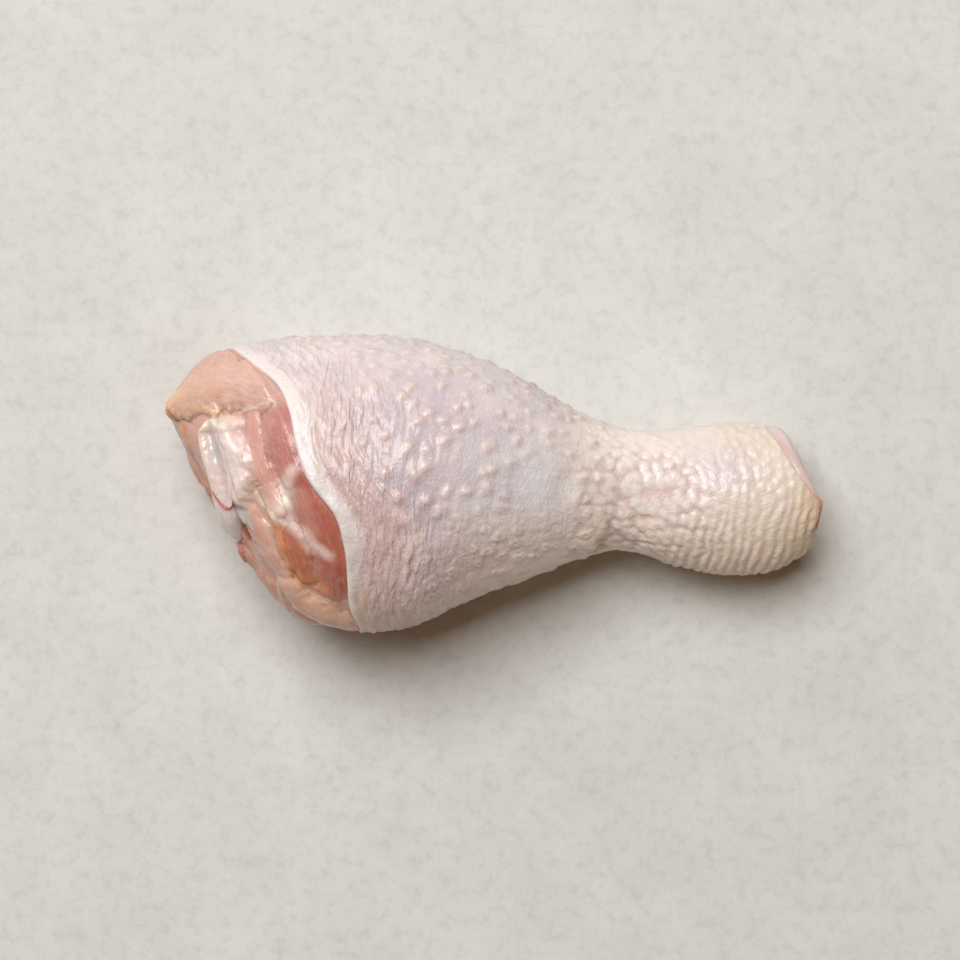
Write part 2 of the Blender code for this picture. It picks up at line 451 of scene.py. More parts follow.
def fitted_leg(rim_height: float = 0.9, hock_lip: float = 0.8) -> Leg:
    """The leg moved so that its skin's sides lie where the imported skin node's do.

    Args:
        rim_height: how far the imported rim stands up.
        hock_lip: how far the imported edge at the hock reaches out.

    Returns:
        A Leg whose shift is the difference between the two boxes.
    """
    free = Leg()
    low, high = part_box("skin")
    angle = np.linspace(0.0, 2 * np.pi, 361)
    rim = free.layer(free.knee_edge(angle), angle, np.full(angle.shape, rim_height))[:, 1]
    span = np.linspace(-50.0, 60.0, 441)
    side, back = (free.point(span, np.full(span.shape, turn))[:, 1] for turn in (0.0, np.pi))
    middle_y = (max(side.max(), rim.max()) + min(back.min(), rim.min())) / 2
    hock = free.hock_edge(angle).max() + hock_lip
    return Leg(shift=(hock - high.x / MM, middle_y - (low.y + high.y) / 2 / MM))


# ---------------------------------------------------------------- meshes


class Sheet(NamedTuple):
    """A grid of points with the values that its material reads."""

    points: Array
    tone: Array
    grain: Array
    wet: Array
    fold: Array


def band(first: int, rows: int, columns: int) -> Array:
    """Quads between rows of a grid that closes round its columns.

    Args:
        first: number of the first point.
        rows: how many rows.
        columns: how many columns.

    Returns:
        Four point numbers a quad.
    """
    i, j = np.meshgrid(np.arange(rows - 1), np.arange(columns), indexing="ij")
    beside = (j + 1) % columns
    quads = (i * columns + j, i * columns + beside, (i + 1) * columns + beside, (i + 1) * columns + j)
    return first + np.stack(quads, axis=-1).reshape(-1, 4)


def fan(first: int, columns: int, tip: int, turned: bool) -> Array:
    """Triangles from a ring of points to a tip.

    Args:
        first: number of the ring's first point.
        columns: how many points it has.
        tip: number of the tip.
        turned: whether the triangles face the other way.

    Returns:
        Three point numbers a triangle.
    """
    j = np.arange(columns)
    one, other = first + j, first + (j + 1) % columns
    if turned:
        one, other = other, one
    tips = np.full(columns, tip)
    return np.stack([one, other, tips], axis=-1)


def signed_volume(points: Array, quads: Array) -> float:
    """Volume inside quads, from the tetrahedra to the origin; below zero when turned in."""
    a, b, c, d = (points[quads[:, k]] for k in range(4))
    return float(np.sum(np.cross(a, b) * c) + np.sum(np.cross(a, c) * d)) / 6.0


def closed_piece(name: str, leg: Leg, sheet: Sheet, material: bpy.types.Material) -> bpy.types.Object:
    """Body of rows that close round their columns, with both ends closed by a fan to a tip.

    Args:
        name: the object's name.
        leg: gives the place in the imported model.
        sheet: rows by columns of points, tones, grain, wetness and share of fine folds.
        material: the finish.

    Returns:
        The linked object, its place in its mesh.
    """
    rows, columns, _ = sheet.points.shape
    count = rows * columns
    points = ended(sheet.points)
    quads = band(0, rows, columns)
    tips = [fan(0, columns, count, True), fan(count - columns, columns, count + 1, False)]
    if signed_volume(points, quads) < 0:
        quads = quads[:, ::-1]
        tips = [t[:, ::-1] for t in tips]
    mesh = bpy.data.meshes.new(name)
    placed = leg.place(points).astype(np.float32)
    corners = np.concatenate([quads.ravel(), tips[0].ravel(), tips[1].ravel()]).astype(np.int32)
    sizes = np.concatenate([np.full(len(quads), 4), np.full(2 * columns, 3)])
    starts = np.concatenate([[0], np.cumsum(sizes)[:-1]]).astype(np.int32)
    mesh.vertices.add(len(placed))
    mesh.vertices.foreach_set("co", placed.ravel())
    mesh.loops.add(len(corners))
    mesh.loops.foreach_set("vertex_index", corners)
    mesh.polygons.add(len(sizes))
    mesh.polygons.foreach_set("loop_start", starts)
    mesh.update(calc_edges=True)
    mesh.polygons.foreach_set("use_smooth", np.ones(len(sizes), bool))
    store(mesh, "tone", "FLOAT_COLOR", with_alpha(ended(sheet.tone)))
    store(mesh, "grain", "FLOAT_VECTOR", ended(sheet.grain))
    store(mesh, "wet", "FLOAT", ended(sheet.wet[..., None])[:, 0])
    store(mesh, "fold", "FLOAT", ended(sheet.fold[..., None])[:, 0])
    mesh.validate()
    obj = bpy.data.objects.new(name, mesh)
    bpy.context.scene.collection.objects.link(obj)
    mesh.materials.append(material)
    return obj


def ended(values: Array) -> Array:
    """Grid values as a list, with the mean of the first and of the last row for the tips."""
    tips = np.array([values[0].mean(axis=0), values[-1].mean(axis=0)])
    return np.concatenate([values.reshape(-1, values.shape[-1]), tips])


def with_alpha(colours: Array) -> Array:
    """Colours with a full alpha."""
    return np.column_stack([np.clip(colours, 0.0, 1.0), np.ones(len(colours))])


def store(mesh: bpy.types.Mesh, name: str, kind: str, values: Array) -> None:
    """Values as a point attribute of the mesh.

    Args:
        mesh: the mesh.
        name: the attribute's name.
        kind: its data type.
        values: one row a point.
    """
    field = {"FLOAT_COLOR": "color", "FLOAT_VECTOR": "vector", "FLOAT": "value"}[kind]
    attribute = mesh.attributes.new(name, kind, "POINT")
    attribute.data.foreach_set(field, values.astype(np.float32).ravel())


# ---------------------------------------------------------------- strokes on a surface


class Mark(Enum):
    """What a stroke does to the surface under it."""

    MUSCLE = "stands up in a rounded mass, the higher mass winning where two meet"
    RIDGE = "adds a rounded ridge or, below zero, a furrow"
    LUMPS = "adds a crowd of soft swellings"
    STAIN = "colours only"


@dataclass(frozen=True)
class Stroke:
    """A muscle, band, spot or furrow carried along a path that is laid on a surface.

    path holds X and Y seen from above, width the half width at the start, the middle and the end,
    height how far it stands up, cover how strongly it colours, edge the share of the half width
    over which its colour fades, wander how much its border wavers, fibre how streaky it is, and
    below says that it lies on the side that faces the floor.
    """

    mark: Mark
    path: Table
    width: tuple[float, float, float]
    height: float
    tone: Tone
    cover: float = 0.9
    edge: float = 0.6
    wander: float = 0.3
    fibre: float = 0.0
    below: bool = False


class Reading(NamedTuple):
    """Where each point lies on a stroke: share of the half width, length along it and across."""

    share: Array
    length: Array
    across: Array


def read_stroke(points: Array, normals: Array, path: Array, width: Array, wander: float) -> Reading:
    """Nearest place on a path for every point.

    The nearest sample is found from all distances, then the offset to it is split into the part
    along the path and the rest; the half width is varied by noise, so that edges wander.

    Args:
        points: places on the surface, in a list.
        normals: unit normals there.
        path: the path's samples on the same surface.
        width: half width at each sample.
        wander: how much the half width varies, as a share.

    Returns:
        A Reading for every point.
    """
    tangent = unit(np.gradient(path, axis=0))
    run = np.concatenate([[0.0], np.cumsum(np.linalg.norm(np.diff(path, axis=0), axis=1))])
    gap = np.sum(points**2, axis=1)[:, None] - 2 * points @ path.T + np.sum(path**2, axis=1)[None]
    nearest = np.argmin(gap, axis=1)
    offset = points - path[nearest]
    forward = np.sum(offset * tangent[nearest], axis=1)
    inside = (nearest > 0) & (nearest < len(path) - 1)
    rest = offset - np.where(inside, forward, 0.0)[:, None] * tangent[nearest]
    side = np.cross(normals, tangent[nearest])
    across = np.sum(offset * side, axis=1)
    waver = wander * noise(points / 3.1, 77) + 0.4 * wander * noise(points / 1.1, 78)
    varied = width[nearest] * (1 + waver)
    return Reading(np.linalg.norm(rest, axis=1) / varied, run[nearest] + forward, across)


@dataclass
class Surface:
    """A grid of points that takes strokes: its height, colour, fibre direction and wetness."""

    points: Array
    normals: Array
    tone: Array
    grain: Array
    wet: Array
    height: Array
    mass: Array

    @staticmethod
    def on(points: Array, tone: Tone) -> "Surface":
        """A bare surface of one colour, with normals from the grid's own steps.

        Args:
            points: rows by columns of points.
            tone: its colour.

        Returns:
            The surface, without height.
        """
        rows, columns, _ = points.shape
        around = np.roll(points, -1, axis=1) - np.roll(points, 1, axis=1)
        normals = unit(np.cross(around, np.gradient(points, axis=0)))
        middle = points.mean(axis=(0, 1))
        if np.mean(np.sum(normals * (points - middle), axis=-1)) < 0:
            normals = -normals
        flat = np.zeros((rows, columns))
        tones = tinted((rows, columns), tone)
        return Surface(points, normals, tones, points.copy(), flat + 0.5, flat, flat.copy())

    def lay(self, path: Array, stroke: Stroke) -> None:
        """Puts one stroke on the surface.

        A muscle takes the place of a lower mass, a ridge or a crowd of lumps is added to the
        height, and every mark colours what it covers. Streaks and pale threads run along it.

        Args:
            path: the stroke's path, already on the surface.
            stroke: what it is.
        """
        steps = np.linspace(0.0, 2.0, len(path))
        width = through(list(enumerate(stroke.width)), 1, steps)
        points, normals = self.points.reshape(-1, 3), self.normals.reshape(-1, 3)
        near = self.near(points, path, max(stroke.width) * 1.6 + 1.0)
        read = read_stroke(points[near], normals[near], path, width, stroke.wander)
        height, mass = self.height.reshape(-1), self.mass.reshape(-1)
        tone, grain = self.tone.reshape(-1, 3), self.grain.reshape(-1, 3)
        inside = np.clip(1.0 - read.share**2, 0.0, 1.0)
        cover = fade(1.0 + stroke.edge * 0.5, 1.0 - stroke.edge, read.share) * stroke.cover
        if stroke.mark is Mark.MUSCLE:
            rise = stroke.height * inside**0.9
            cover = cover * fade(-0.25, 0.35, rise - mass[near])
            mass[near] = np.maximum(mass[near], rise)
        elif stroke.mark is Mark.RIDGE:
            height[near] += stroke.height * inside**1.5
        elif stroke.mark is Mark.LUMPS:
            crowd = beads(read.across / 2.3, read.length / 2.6, 1.0, 35)
            height[near] += stroke.height * inside * (0.35 + crowd.near)
            cover = cover * (0.55 + 0.45 * crowd.near)
        streak = flat_noise(read.across / 0.45, read.length / 5.0, 31) * stroke.fibre
        thread = flat_noise(read.across / 1.1 + 0.2 * streak, read.length / 6.0, 33)
        pale = stroke.fibre * cover * bell(thread, 0.07)
        height[near] += 0.12 * streak * cover
        height[near] += 0.07 * pale
        painted = mixed(mixed(tone[near], stroke.tone, cover), Tone.WHITE_FAT, 0.38 * pale)
        tone[near] = painted * (1 + 0.13 * (streak * cover)[:, None])
        turned = np.column_stack([read.across, read.length / 6.0, np.zeros(len(read.length))])
        share = (cover > 0.5)[:, None] & (stroke.mark is Mark.MUSCLE)
        grain[near] = np.where(share, turned, grain[near])

    @staticmethod
    def near(points: Array, path: Array, reach: float) -> Array:
        """Numbers of the points inside the path's box grown by a reach."""
        low, high = path.min(axis=0) - reach, path.max(axis=0) + reach
        return np.nonzero(np.all((points > low) & (points < high), axis=1))[0]

    def raised(self) -> Array:
        """The points moved out by the height and the masses, never under the floor.

        Returns:
            The points.
        """
        moved = self.points + self.normals * (self.height + self.mass)[..., None]
        moved[..., 2] = np.maximum(moved[..., 2], 0.0)
        return moved


# ---------------------------------------------------------------- finishes


class Graph:
    """Adds nodes to one tree. A value that is itself an output is linked."""

    def __init__(self, tree: bpy.types.NodeTree) -> None:
        """Keeps the tree."""
        self.tree = tree

    def put(self, target: bpy.types.NodeSocket, value: object) -> None:
        """Links an input to an output, or sets its value.

        Args:
            target: the input.
            value: an output or a value.
        """
        if isinstance(value, bpy.types.NodeSocket):
            self.tree.links.new(value, target)
        else:
            target.default_value = value

    def fill(self, node: bpy.types.Node, **values: object) -> bpy.types.Node:
        """Fills a node's inputs and settings.

        Args:
            node: the node.
            values: names with underscores for spaces; a socket of that name, else a setting.

        Returns:
            The node.
        """
        for key, value in values.items():
            label = key.replace("_", " ")
            if label in node.inputs:
                self.put(node.inputs[label], value)
            else:
                setattr(node, key, value)
        return node

    def add(self, kind: str, **values: object) -> bpy.types.Node:
        """A new shader node, filled."""
        return self.fill(self.tree.nodes.new("ShaderNode" + kind), **values)

    def math(self, operation: str, *values: object) -> bpy.types.NodeSocket:
        """The result of a Math node.

        Args:
            operation: what it does.
            values: its inputs in turn, each a value or an output.

        Returns:
            Its output.
        """
        node = self.add("Math", operation=operation)
        for target, value in zip(node.inputs, values):
            self.put(target, value)
        return node.outputs[0]


def new_group(name: str, inputs: dict[str, object], outputs: dict[str, str]) -> tuple[Graph, dict]:
    """A shader node group with named sockets.

    Args:
        name: the group's name.
        inputs: each input's default; None for a vector that is always linked, () for a colour.
        outputs: each output's kind.

    Returns:
        The group's graph and the outputs of its Group Input by name.
    """
    tree = bpy.data.node_groups.new(name, "ShaderNodeTree")
    for label, value in inputs.items():
        kind = "Vector" if value is None else "Color" if isinstance(value, tuple) else "Float"
        socket = tree.interface.new_socket(label, in_out="INPUT", socket_type="NodeSocket" + kind)
        if value:
            socket.default_value = value
    for label, kind in outputs.items():
        tree.interface.new_socket(label, in_out="OUTPUT", socket_type="NodeSocket" + kind)
    source = tree.nodes.new("NodeGroupInput")
    tree.nodes.new("NodeGroupOutput")
    return Graph(tree), {label: source.outputs[label] for label in inputs}


def mottle_group() -> bpy.types.NodeTree:
    """Group that clouds a colour: coarse and fine noise brighten, darken and redden it.

    Returns:
        The group's tree.
    """
    g, given = new_group(
        "Mottle",
        {
            "Color": (), "Vector": None, "Blush": (0.7, 0.3, 0.25, 1.0),
            "Scale": 300.0, "Amount": 0.2, "Speck": 0.1,
        },
        {"Color": "Color"},
    )
    at, scale = given["Vector"], given["Scale"]
    coarse = g.add("TexNoise", Detail=4.0, Roughness=0.6, Vector=at, Scale=scale).outputs["Fac"]
    finer = g.math("MULTIPLY", scale, 5.0)
    fine = g.add("TexNoise", Detail=3.0, Roughness=0.7, Vector=at, Scale=finer).outputs["Fac"]
    blush = g.add("MapRange", From_Min=0.45, From_Max=0.75, To_Min=0.0, To_Max=1.0, Value=coarse)
    amount = g.math("MULTIPLY", blush.outputs["Result"], given["Amount"])
    mix = g.add("Mix", data_type="RGBA", Factor=amount, A=given["Color"], B=given["Blush"])
    speck = g.math("MULTIPLY_ADD", g.math("SUBTRACT", fine, 0.5), given["Speck"], 1.0)
    shade = g.add("VectorMath", operation="SCALE", Vector=mix.outputs["Result"], Scale=speck)
    g.fill(g.tree.nodes["Group Output"], Color=shade.outputs[0])
    return g.tree


def relief_group() -> bpy.types.NodeTree:
    """Group that makes a fine height and its creases: folds along the grain, and pores from cells.

    A crease lies where the noise along the grain passes its middle value.

    Returns:
        The group's tree.
    """
    g, given = new_group(
        "Fine relief",
        {"Grain": None, "Vector": None, "Folds": 1.0, "Fold Scale": 2.0, "Pores": 0.5, "Pore Scale": 1500.0},
        {"Height": "Float", "Crease": "Float"},
    )
    fold = g.add("TexNoise", Detail=2.5, Roughness=0.55, Vector=given["Grain"], Scale=given["Fold Scale"])
    away = g.math("ABSOLUTE", g.math("SUBTRACT", fold.outputs["Fac"], 0.5))
    crease = g.add("MapRange", From_Min=0.0, From_Max=0.09, To_Min=1.0, To_Max=0.0, Value=away)
    deep = g.math("MULTIPLY", crease.outputs["Result"], given["Folds"])
    pores = g.add("TexVoronoi", feature="SMOOTH_F1", Vector=given["Vector"], Scale=given["Pore Scale"])
    grained = g.math("MULTIPLY", pores.outputs["Distance"], given["Pores"])
    g.fill(g.tree.nodes["Group Output"], Height=g.math("SUBTRACT", grained, deep), Crease=deep)
    return g.tree


def new_material(name: str) -> tuple[bpy.types.Material, Graph, bpy.types.Node]:
    """A material with its graph and its shader.

    Args:
        name: the material's name.

    Returns:
        The three of them.
    """
    made = bpy.data.materials.new(name)
    made.use_nodes = True
    return made, Graph(made.node_tree), made.node_tree.nodes["Principled BSDF"]


@dataclass(frozen=True)
class WetFinish:
    """A moist animal surface whose colour comes from the piece's own tone attribute.

    Lengths are in millimetres. depth is how far light spreads inside, for red, green and blue.
    """

    name: str
    roughness: float
    dry_roughness: float
    coat: float
    inside: float
    depth: tuple[float, float, float]
    blush: tuple[float, float, float]
    blush_size: float
    blush_amount: float
    speck: float
    folds: float
    fold_scale: float
    fold_tone: tuple[float, float, float]
    pores: float
    pore_size: float
    bump: float

    def material(self, mottle: bpy.types.NodeTree, relief: bpy.types.NodeTree) -> bpy.types.Material:
        """Builds the material.

        Args:
            mottle: group that clouds the colour.
            relief: group that makes the fine height.

        Returns:
            The material.
        """
        made, g, shader = new_material(self.name)
        at = g.add("TexCoord").outputs["Object"]
        read = (("tone", "Color"), ("grain", "Vector"), ("wet", "Fac"), ("fold", "Fac"))
        tone, grain, wet, fold = (g.add("Attribute", attribute_name=a).outputs[kind] for a, kind in read)
        cloud = g.add(
            "Group", node_tree=mottle, Color=tone, Vector=at, Blush=(*self.blush, 1.0),
            Scale=1.0 / (self.blush_size * MM), Amount=self.blush_amount, Speck=self.speck,
        )
        fine = g.add(
            "Group", node_tree=relief, Grain=grain, Vector=at, Folds=g.math("MULTIPLY", fold, self.folds),
            Fold_Scale=self.fold_scale, Pores=self.pores, Pore_Scale=1.0 / (self.pore_size * MM),
        )
        # Creases are multiplied by fold_tone: for skin and cartilage a darker, pinker tint, partly painted
        # shade in the folds; paler for the meat.
        lined = g.add(
            "Mix", data_type="RGBA", blend_type="MULTIPLY", Factor=fine.outputs["Crease"],
            A=cloud.outputs["Color"], B=(*self.fold_tone, 1.0),
        )
        bump = g.add("Bump", Strength=1.0, Distance=self.bump * MM, Height=fine.outputs["Height"])
        patch = g.add("TexNoise", Scale=PATCH_SCALE, Detail=3.0, Vector=at)
        rough = g.add(
            "MapRange", From_Min=-0.5, From_Max=0.5, To_Min=self.roughness, To_Max=self.dry_roughness,
            Value=g.math("SUBTRACT", patch.outputs["Fac"], wet),
        )
        g.fill(
            shader, Base_Color=lined.outputs["Result"], Roughness=rough.outputs["Result"],
            Normal=bump.outputs["Normal"], IOR=WET_IOR, Coat_Weight=self.coat, Coat_Roughness=COAT_ROUGHNESS,
            Subsurface_Weight=self.inside, Subsurface_Radius=self.depth, Subsurface_Scale=MM,
        )
        return made


SKIN_FINISH = WetFinish(
    name="Skin", roughness=0.24, dry_roughness=0.46, coat=0.28, inside=0.5, depth=(0.9, 0.6, 0.5),
    blush=(0.72, 0.55, 0.55), blush_size=3.5, blush_amount=0.16, speck=0.16,
    folds=0.8, fold_scale=0.62, fold_tone=(0.96, 0.88, 0.88), pores=0.7, pore_size=0.5, bump=0.15,
)
MEAT_FINISH = WetFinish(
    name="Meat", roughness=0.16, dry_roughness=0.38, coat=0.25, inside=0.7, depth=(1.5, 0.6, 0.4),
    blush=(0.55, 0.22, 0.17), blush_size=2.6, blush_amount=0.22, speck=0.20,
    folds=0.6, fold_scale=0.8, fold_tone=(1.06, 1.10, 1.10), pores=0.25, pore_size=0.6, bump=0.14,
)
BONE_FINISH = WetFinish(
    name="Cartilage", roughness=0.15, dry_roughness=0.32, coat=0.4, inside=0.7, depth=(1.3, 1.0, 0.8),
    blush=(0.76, 0.55, 0.50), blush_size=2.4, blush_amount=0.20, speck=0.10,
    folds=0.3, fold_scale=0.6, fold_tone=(0.95, 0.90, 0.88), pores=0.2, pore_size=0.7, bump=0.10,
)


class Finishes:
    """Every finish, built once, with the node groups that they share."""

    def __init__(self) -> None:
        """Builds the groups and the materials."""
        mottle, relief = mottle_group(), relief_group()
        self.skin = SKIN_FINISH.material(mottle, relief)
        self.meat = MEAT_FINISH.material(mottle, relief)
        self.bone = BONE_FINISH.material(mottle, relief)


# ---------------------------------------------------------------- the skin


class SkinPlaces(NamedTuple):
    """Where each point of the skin's outside lies: on X, round the leg, from both edges."""

    x: Array
    angle: Array
    arc: Array
    past: Array
    left: Array
    points: Array


@dataclass(frozen=True)
class Skin:
    """The skin sleeve: wrinkled at the knee edge, pimpled on the body, pebbled at the ankle.

    waver moves the knee edge by the angle in degrees. flush takes painted_shading_tone away along X, a
    painted shade towards the knee and a painted light round the neck; low_side_painted_light brightens the
    side that lies low, as painted light, and fleck is the strength of small spots of fleck_tone.
    """

    leg: Leg
    columns: int = 300
    outer_rows: int = 286
    roll_rows: int = 12
    wall_rows: int = 5
    crowding: float = 0.35
    thickness: float = 0.9
    bead: float = 0.40
    lip: float = 0.8
    recess: float = 7.0
    hock_lip: float = 0.7
    hock_recess: float = 5.0
    waver: Table = (
        (-90, 0.0), (-20, 0.2), (10, 0.0), (25, -0.8), (38, -0.2), (49, 1.6), (63, 1.1), (76, -0.5),
        (88, -0.8), (100, 1.7), (112, 1.3), (126, 0.0), (142, -1.2), (165, -0.6), (200, 0.0), (270, 0.0),
    )
    # painted shade towards the knee (above zero) and painted light round the neck (below zero), along X
    painted_shading: Table = (
        (-60.0, 0.9), (-20.0, 1.1), (-12.0, 0.9), (-2.0, 0.0), (8.0, -0.7), (22.0, -0.8), (36.0, 0.0),
        (66.0, 0.0),
    )
    painted_shading_tone: tuple[float, float, float] = (0.15, 0.18, 0.17)
    # painted light on the side that lies low
    low_side_painted_light: float = 0.24
    fleck: float = 0.10
    fleck_tone: tuple[float, float, float] = (0.7, 1.0, 1.3)

    def knee_edge(self, angle: Array) -> Array:
        """X of the skin's real edge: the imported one, wavering by a table of degrees and millimetres."""
        return self.leg.knee_edge(angle) + through(self.waver, 1, np.degrees(angle))

    def places(self) -> SkinPlaces:
        """Grid of the outside, its rows closer together near the knee and on the ankle.

        The share of the way to the hock grows by a cubic through a few steps.

        Returns:
            The places of every outer point.
        """
        steps = ((0.0, 0.0), (0.2, 0.14), (0.45, 0.40), (0.7, 0.68), (1.0, 1.0))
        share = through(steps, 1, np.linspace(0.0, 1.0, self.outer_rows))[:, None]
        angle = np.broadcast_to(crowded(self.columns, self.crowding), (self.outer_rows, self.columns))
        start, end = self.knee_edge(angle), self.leg.hock_edge(angle)
        x = start + (end - start) * share
        return SkinPlaces(x, angle, self.leg.arc(x, angle), x - start, end - x, self.leg.point(x, angle))

    def shape(self, at: SkinPlaces) -> tuple[Array, Array]:
        """Height of the relief and the colour of every outer point.

        Args:
            at: the outer grid.

        Returns:
            Heights in millimetres and colours.
        """
        y = at.points[..., 1]
        warm = noise(at.points / 8.0, 21)
        cloud = noise(at.points / 7.0, 23)
        tone = tinted(at.x.shape, Tone.LILAC_SKIN)
        tone = mixed(tone, Tone.WHITE_SKIN, 0.35 + 0.55 * cloud)
        tone = mixed(tone, Tone.GREY_SKIN, 0.6 * bell(at.x - 4.0, 14.0) * bell(y + 1.0, 11.0) * (0.7 + cloud))
        tone = mixed(tone, Tone.CREAM_SKIN, 0.75 * fade(9, 22, at.x + 3 * warm))
        tone = mixed(tone, Tone.WHITE_SKIN, 0.7 * fade(14, 24, at.x) * fade(-8, 2, y + 3 * warm))
        low_side = fade(-2.0, -22.0, y + 3 * warm)
        tone = mixed(tone, Tone.PINK_SKIN, 0.26 * low_side * fade(10, -8, at.x))
        creamy = 0.7 * fade(-2.0, -14.0, y + 3 * warm) * (0.35 + 0.65 * fade(-16, 4, at.x))
        tone = mixed(tone, Tone.CREAM_SKIN, creamy)
        # Painted shade towards the knee and painted light round the neck, on the upper part of the leg.
        painted_shading_share = through(self.painted_shading, 1, at.x) * fade(-26.0, -8.0, at.arc) * fade(32.0, 12.0, at.arc)
        # Painted light on the side that lies low, stronger at the hock corner.
        low = fade(114.0, 168.0, np.degrees(at.angle))
        lit = 1.0 + self.low_side_painted_light * low * (1.0 + 0.5 * fade(50.0, 58.0, at.x))
        tone = tone * (1.0 - painted_shading_share[..., None] * np.array(self.painted_shading_tone)) * lit[..., None]
        # Pink over the middle of the ankle: partly its colour, partly painted shade where the key light's
        # highlight falls.
        tone = mixed(tone, Tone.PINK_SKIN, 0.16 * bell(at.x - 32.0, 9.0) * bell(y + 3.0, 6.0))
        height = 0.45 * noise(at.points / 14.0, 11) + 0.20 * noise(at.points / 6.0, 12)
        fleck = self.fleck * noise(at.points / 1.3, 15) * fade(-4.0, 12.0, at.arc) * fade(2.0, 6.0, at.past)
        tone = tone * (1.0 + fleck[..., None] * np.array(self.fleck_tone))
        fine = (0.6 + 0.6 * fade(-2.0, 14.0, at.arc)) * (1.0 - 0.7 * fade(3.4, 1.6, at.past))
        fine = fine * (1.0 - 0.55 * fade(10, 20, at.x))
        height = height + fine * (0.10 * noise(at.points / 1.9, 13) + 0.055 * noise(at.points / 0.9, 14))
        for layer in (self.folds, self.pimples, self.creases, self.pebbles, self.ridges):
            rise, tone = layer(at, tone)
            height = height + rise
        rise, tone = self.rim(at, tone)
        seam = fade(0.0, 0.45, np.abs(np.cos(at.angle)) + np.where(np.sin(at.angle) > 0, 1.0, 0.0))
        floor = fade(0.2, 2.4, at.points[..., 2])
        return (height * seam) * (0.25 + 0.75 * floor) + rise, tone

    def rim(self, at: SkinPlaces, tone: Array) -> tuple[Array, Array]:
        """Thick white rolled edge at the knee with a furrow behind it, and the thin hock edge.

        Args:
            at: the outer grid.
            tone: its colours so far.

        Returns:
            Heights in millimetres and the new colours.
        """
        wander = 0.35 * flat_noise(at.arc / 8.0, at.arc * 0.0, 41) + 0.15 * noise(at.points / 3.0, 43)
        wide = (2.1 - 1.25 * fade(8.0, 24.0, at.arc)) * (1 + wander)
        edge = at.past / wide
        lumps = 1 + 0.45 * noise(at.points / 3.6, 44) + 0.12 * noise(at.points / 1.3, 45)
        degrees = np.degrees(at.angle)
        corner = 1.0 - 0.8 * bell(degrees - 4.0, 30.0) - 0.8 * bell(degrees - 192.0, 24.0)
        tucked = 0.35 * bell(degrees - 192.0, 20.0) * fade(3.5, 0.5, at.past)
        furrow = 0.07 * bell(edge - 1.7, 0.6)
        bead = self.bead * corner * lumps * bell(edge, 1.0) - furrow - tucked
        shade = fade(2.4, 0.6, edge + 0.5 * noise(at.points / 1.6, 42))
        # The rim's white, stronger towards +Y and towards -Y; the part towards -Y (arc 12 to 20 mm) is
        # painted light where the rim lies in shade.
        bright = 0.72 + 0.2 * fade(6.0, 14.0, at.points[..., 1]) + 0.2 * fade(12.0, 20.0, at.arc)
        tone = mixed(tone, Tone.WHITE_SKIN, bright * shade)
        low = fade(16.0, 26.0, at.arc) * fade(0.4, 1.2, edge) * fade(4.4, 2.4, edge)
        return bead, mixed(tone, Tone.YELLOW_FAT, 0.5 * low)

    def folds(self, at: SkinPlaces, tone: Array) -> tuple[Array, Array]:
        """Fine wrinkles along the knee edge: noise stretched round the leg, its zeros made creases.

        Args:
            at: the outer grid.
            tone: its colours so far.

        Returns:
            Heights in millimetres and the new colours.
        """
        bent = at.past + 1.5 * noise(at.points / 8.0, 51) + 0.12 * at.arc
        grid = beads(bent / 1.7, at.arc / 4.6, 0.9, 50)
        wide = 1 - np.abs(flat_noise(bent / 1.5, at.arc / 7.0, 52)) * 2.4
        fine = 1 - np.abs(flat_noise(bent / 0.8, at.arc / 4.0, 53)) * 2.4
        start = 2.4 - 1.0 * fade(4.0, 20.0, at.arc)
        ending = fade(24, 8, at.past + 3 * noise(at.points / 7.0, 54))
        reach = fade(start - 1.2, start + 1.2, at.past) * ending
        span = fade(-42.0, -22.0, at.arc)
        depth = reach * (0.25 + 0.75 * span)
        far = fade(4, 9, at.past) * fade(44, 26, at.past)
        streak = flat_noise((at.x + 0.15 * at.arc) / 0.6, at.arc / 4.0, 55)
        height = depth * (0.16 * wide + 0.12 * fine + 0.28 * (grid.near - 0.5)) + 0.11 * streak * far
        crease = depth * fade(-0.1, -0.9, wide) + 0.5 * depth * fade(0.3, -0.6, fine)
        warm = fade(18, 5, at.past) * fade(-26, -10, at.arc)
        tone = mixed(tone, Tone.PEACH_SKIN, 0.55 * depth * warm)
        rosy = fade(15, 3, at.past + 3 * noise(at.points / 5.0, 56))
        rosy = rosy * fade(-14, 0, at.arc) * fade(1.6, 4.0, at.past)
        rosy = rosy * (1.0 - 0.45 * fade(8.0, 18.0, at.arc))
        # Pink in the fold lines: partly the skin's colour, partly painted shade in the creases.
        tone = mixed(tone, Tone.PINK_SKIN, 0.27 * rosy + 0.36 * crease)
        tone = mixed(tone, Tone.BROWN_SKIN, 0.2 * rosy * fade(20.0, 8.0, at.arc))
        tone = mixed(tone, Tone.WHITE_SKIN, 0.45 * depth * grid.near * grid.chance)
        low = fade(12.0, 34.0, at.arc) * fade(13, 7, at.past) * fade(3, 5, at.past)
        return height, mixed(tone, Tone.PEACH_SKIN, 0.35 * low)

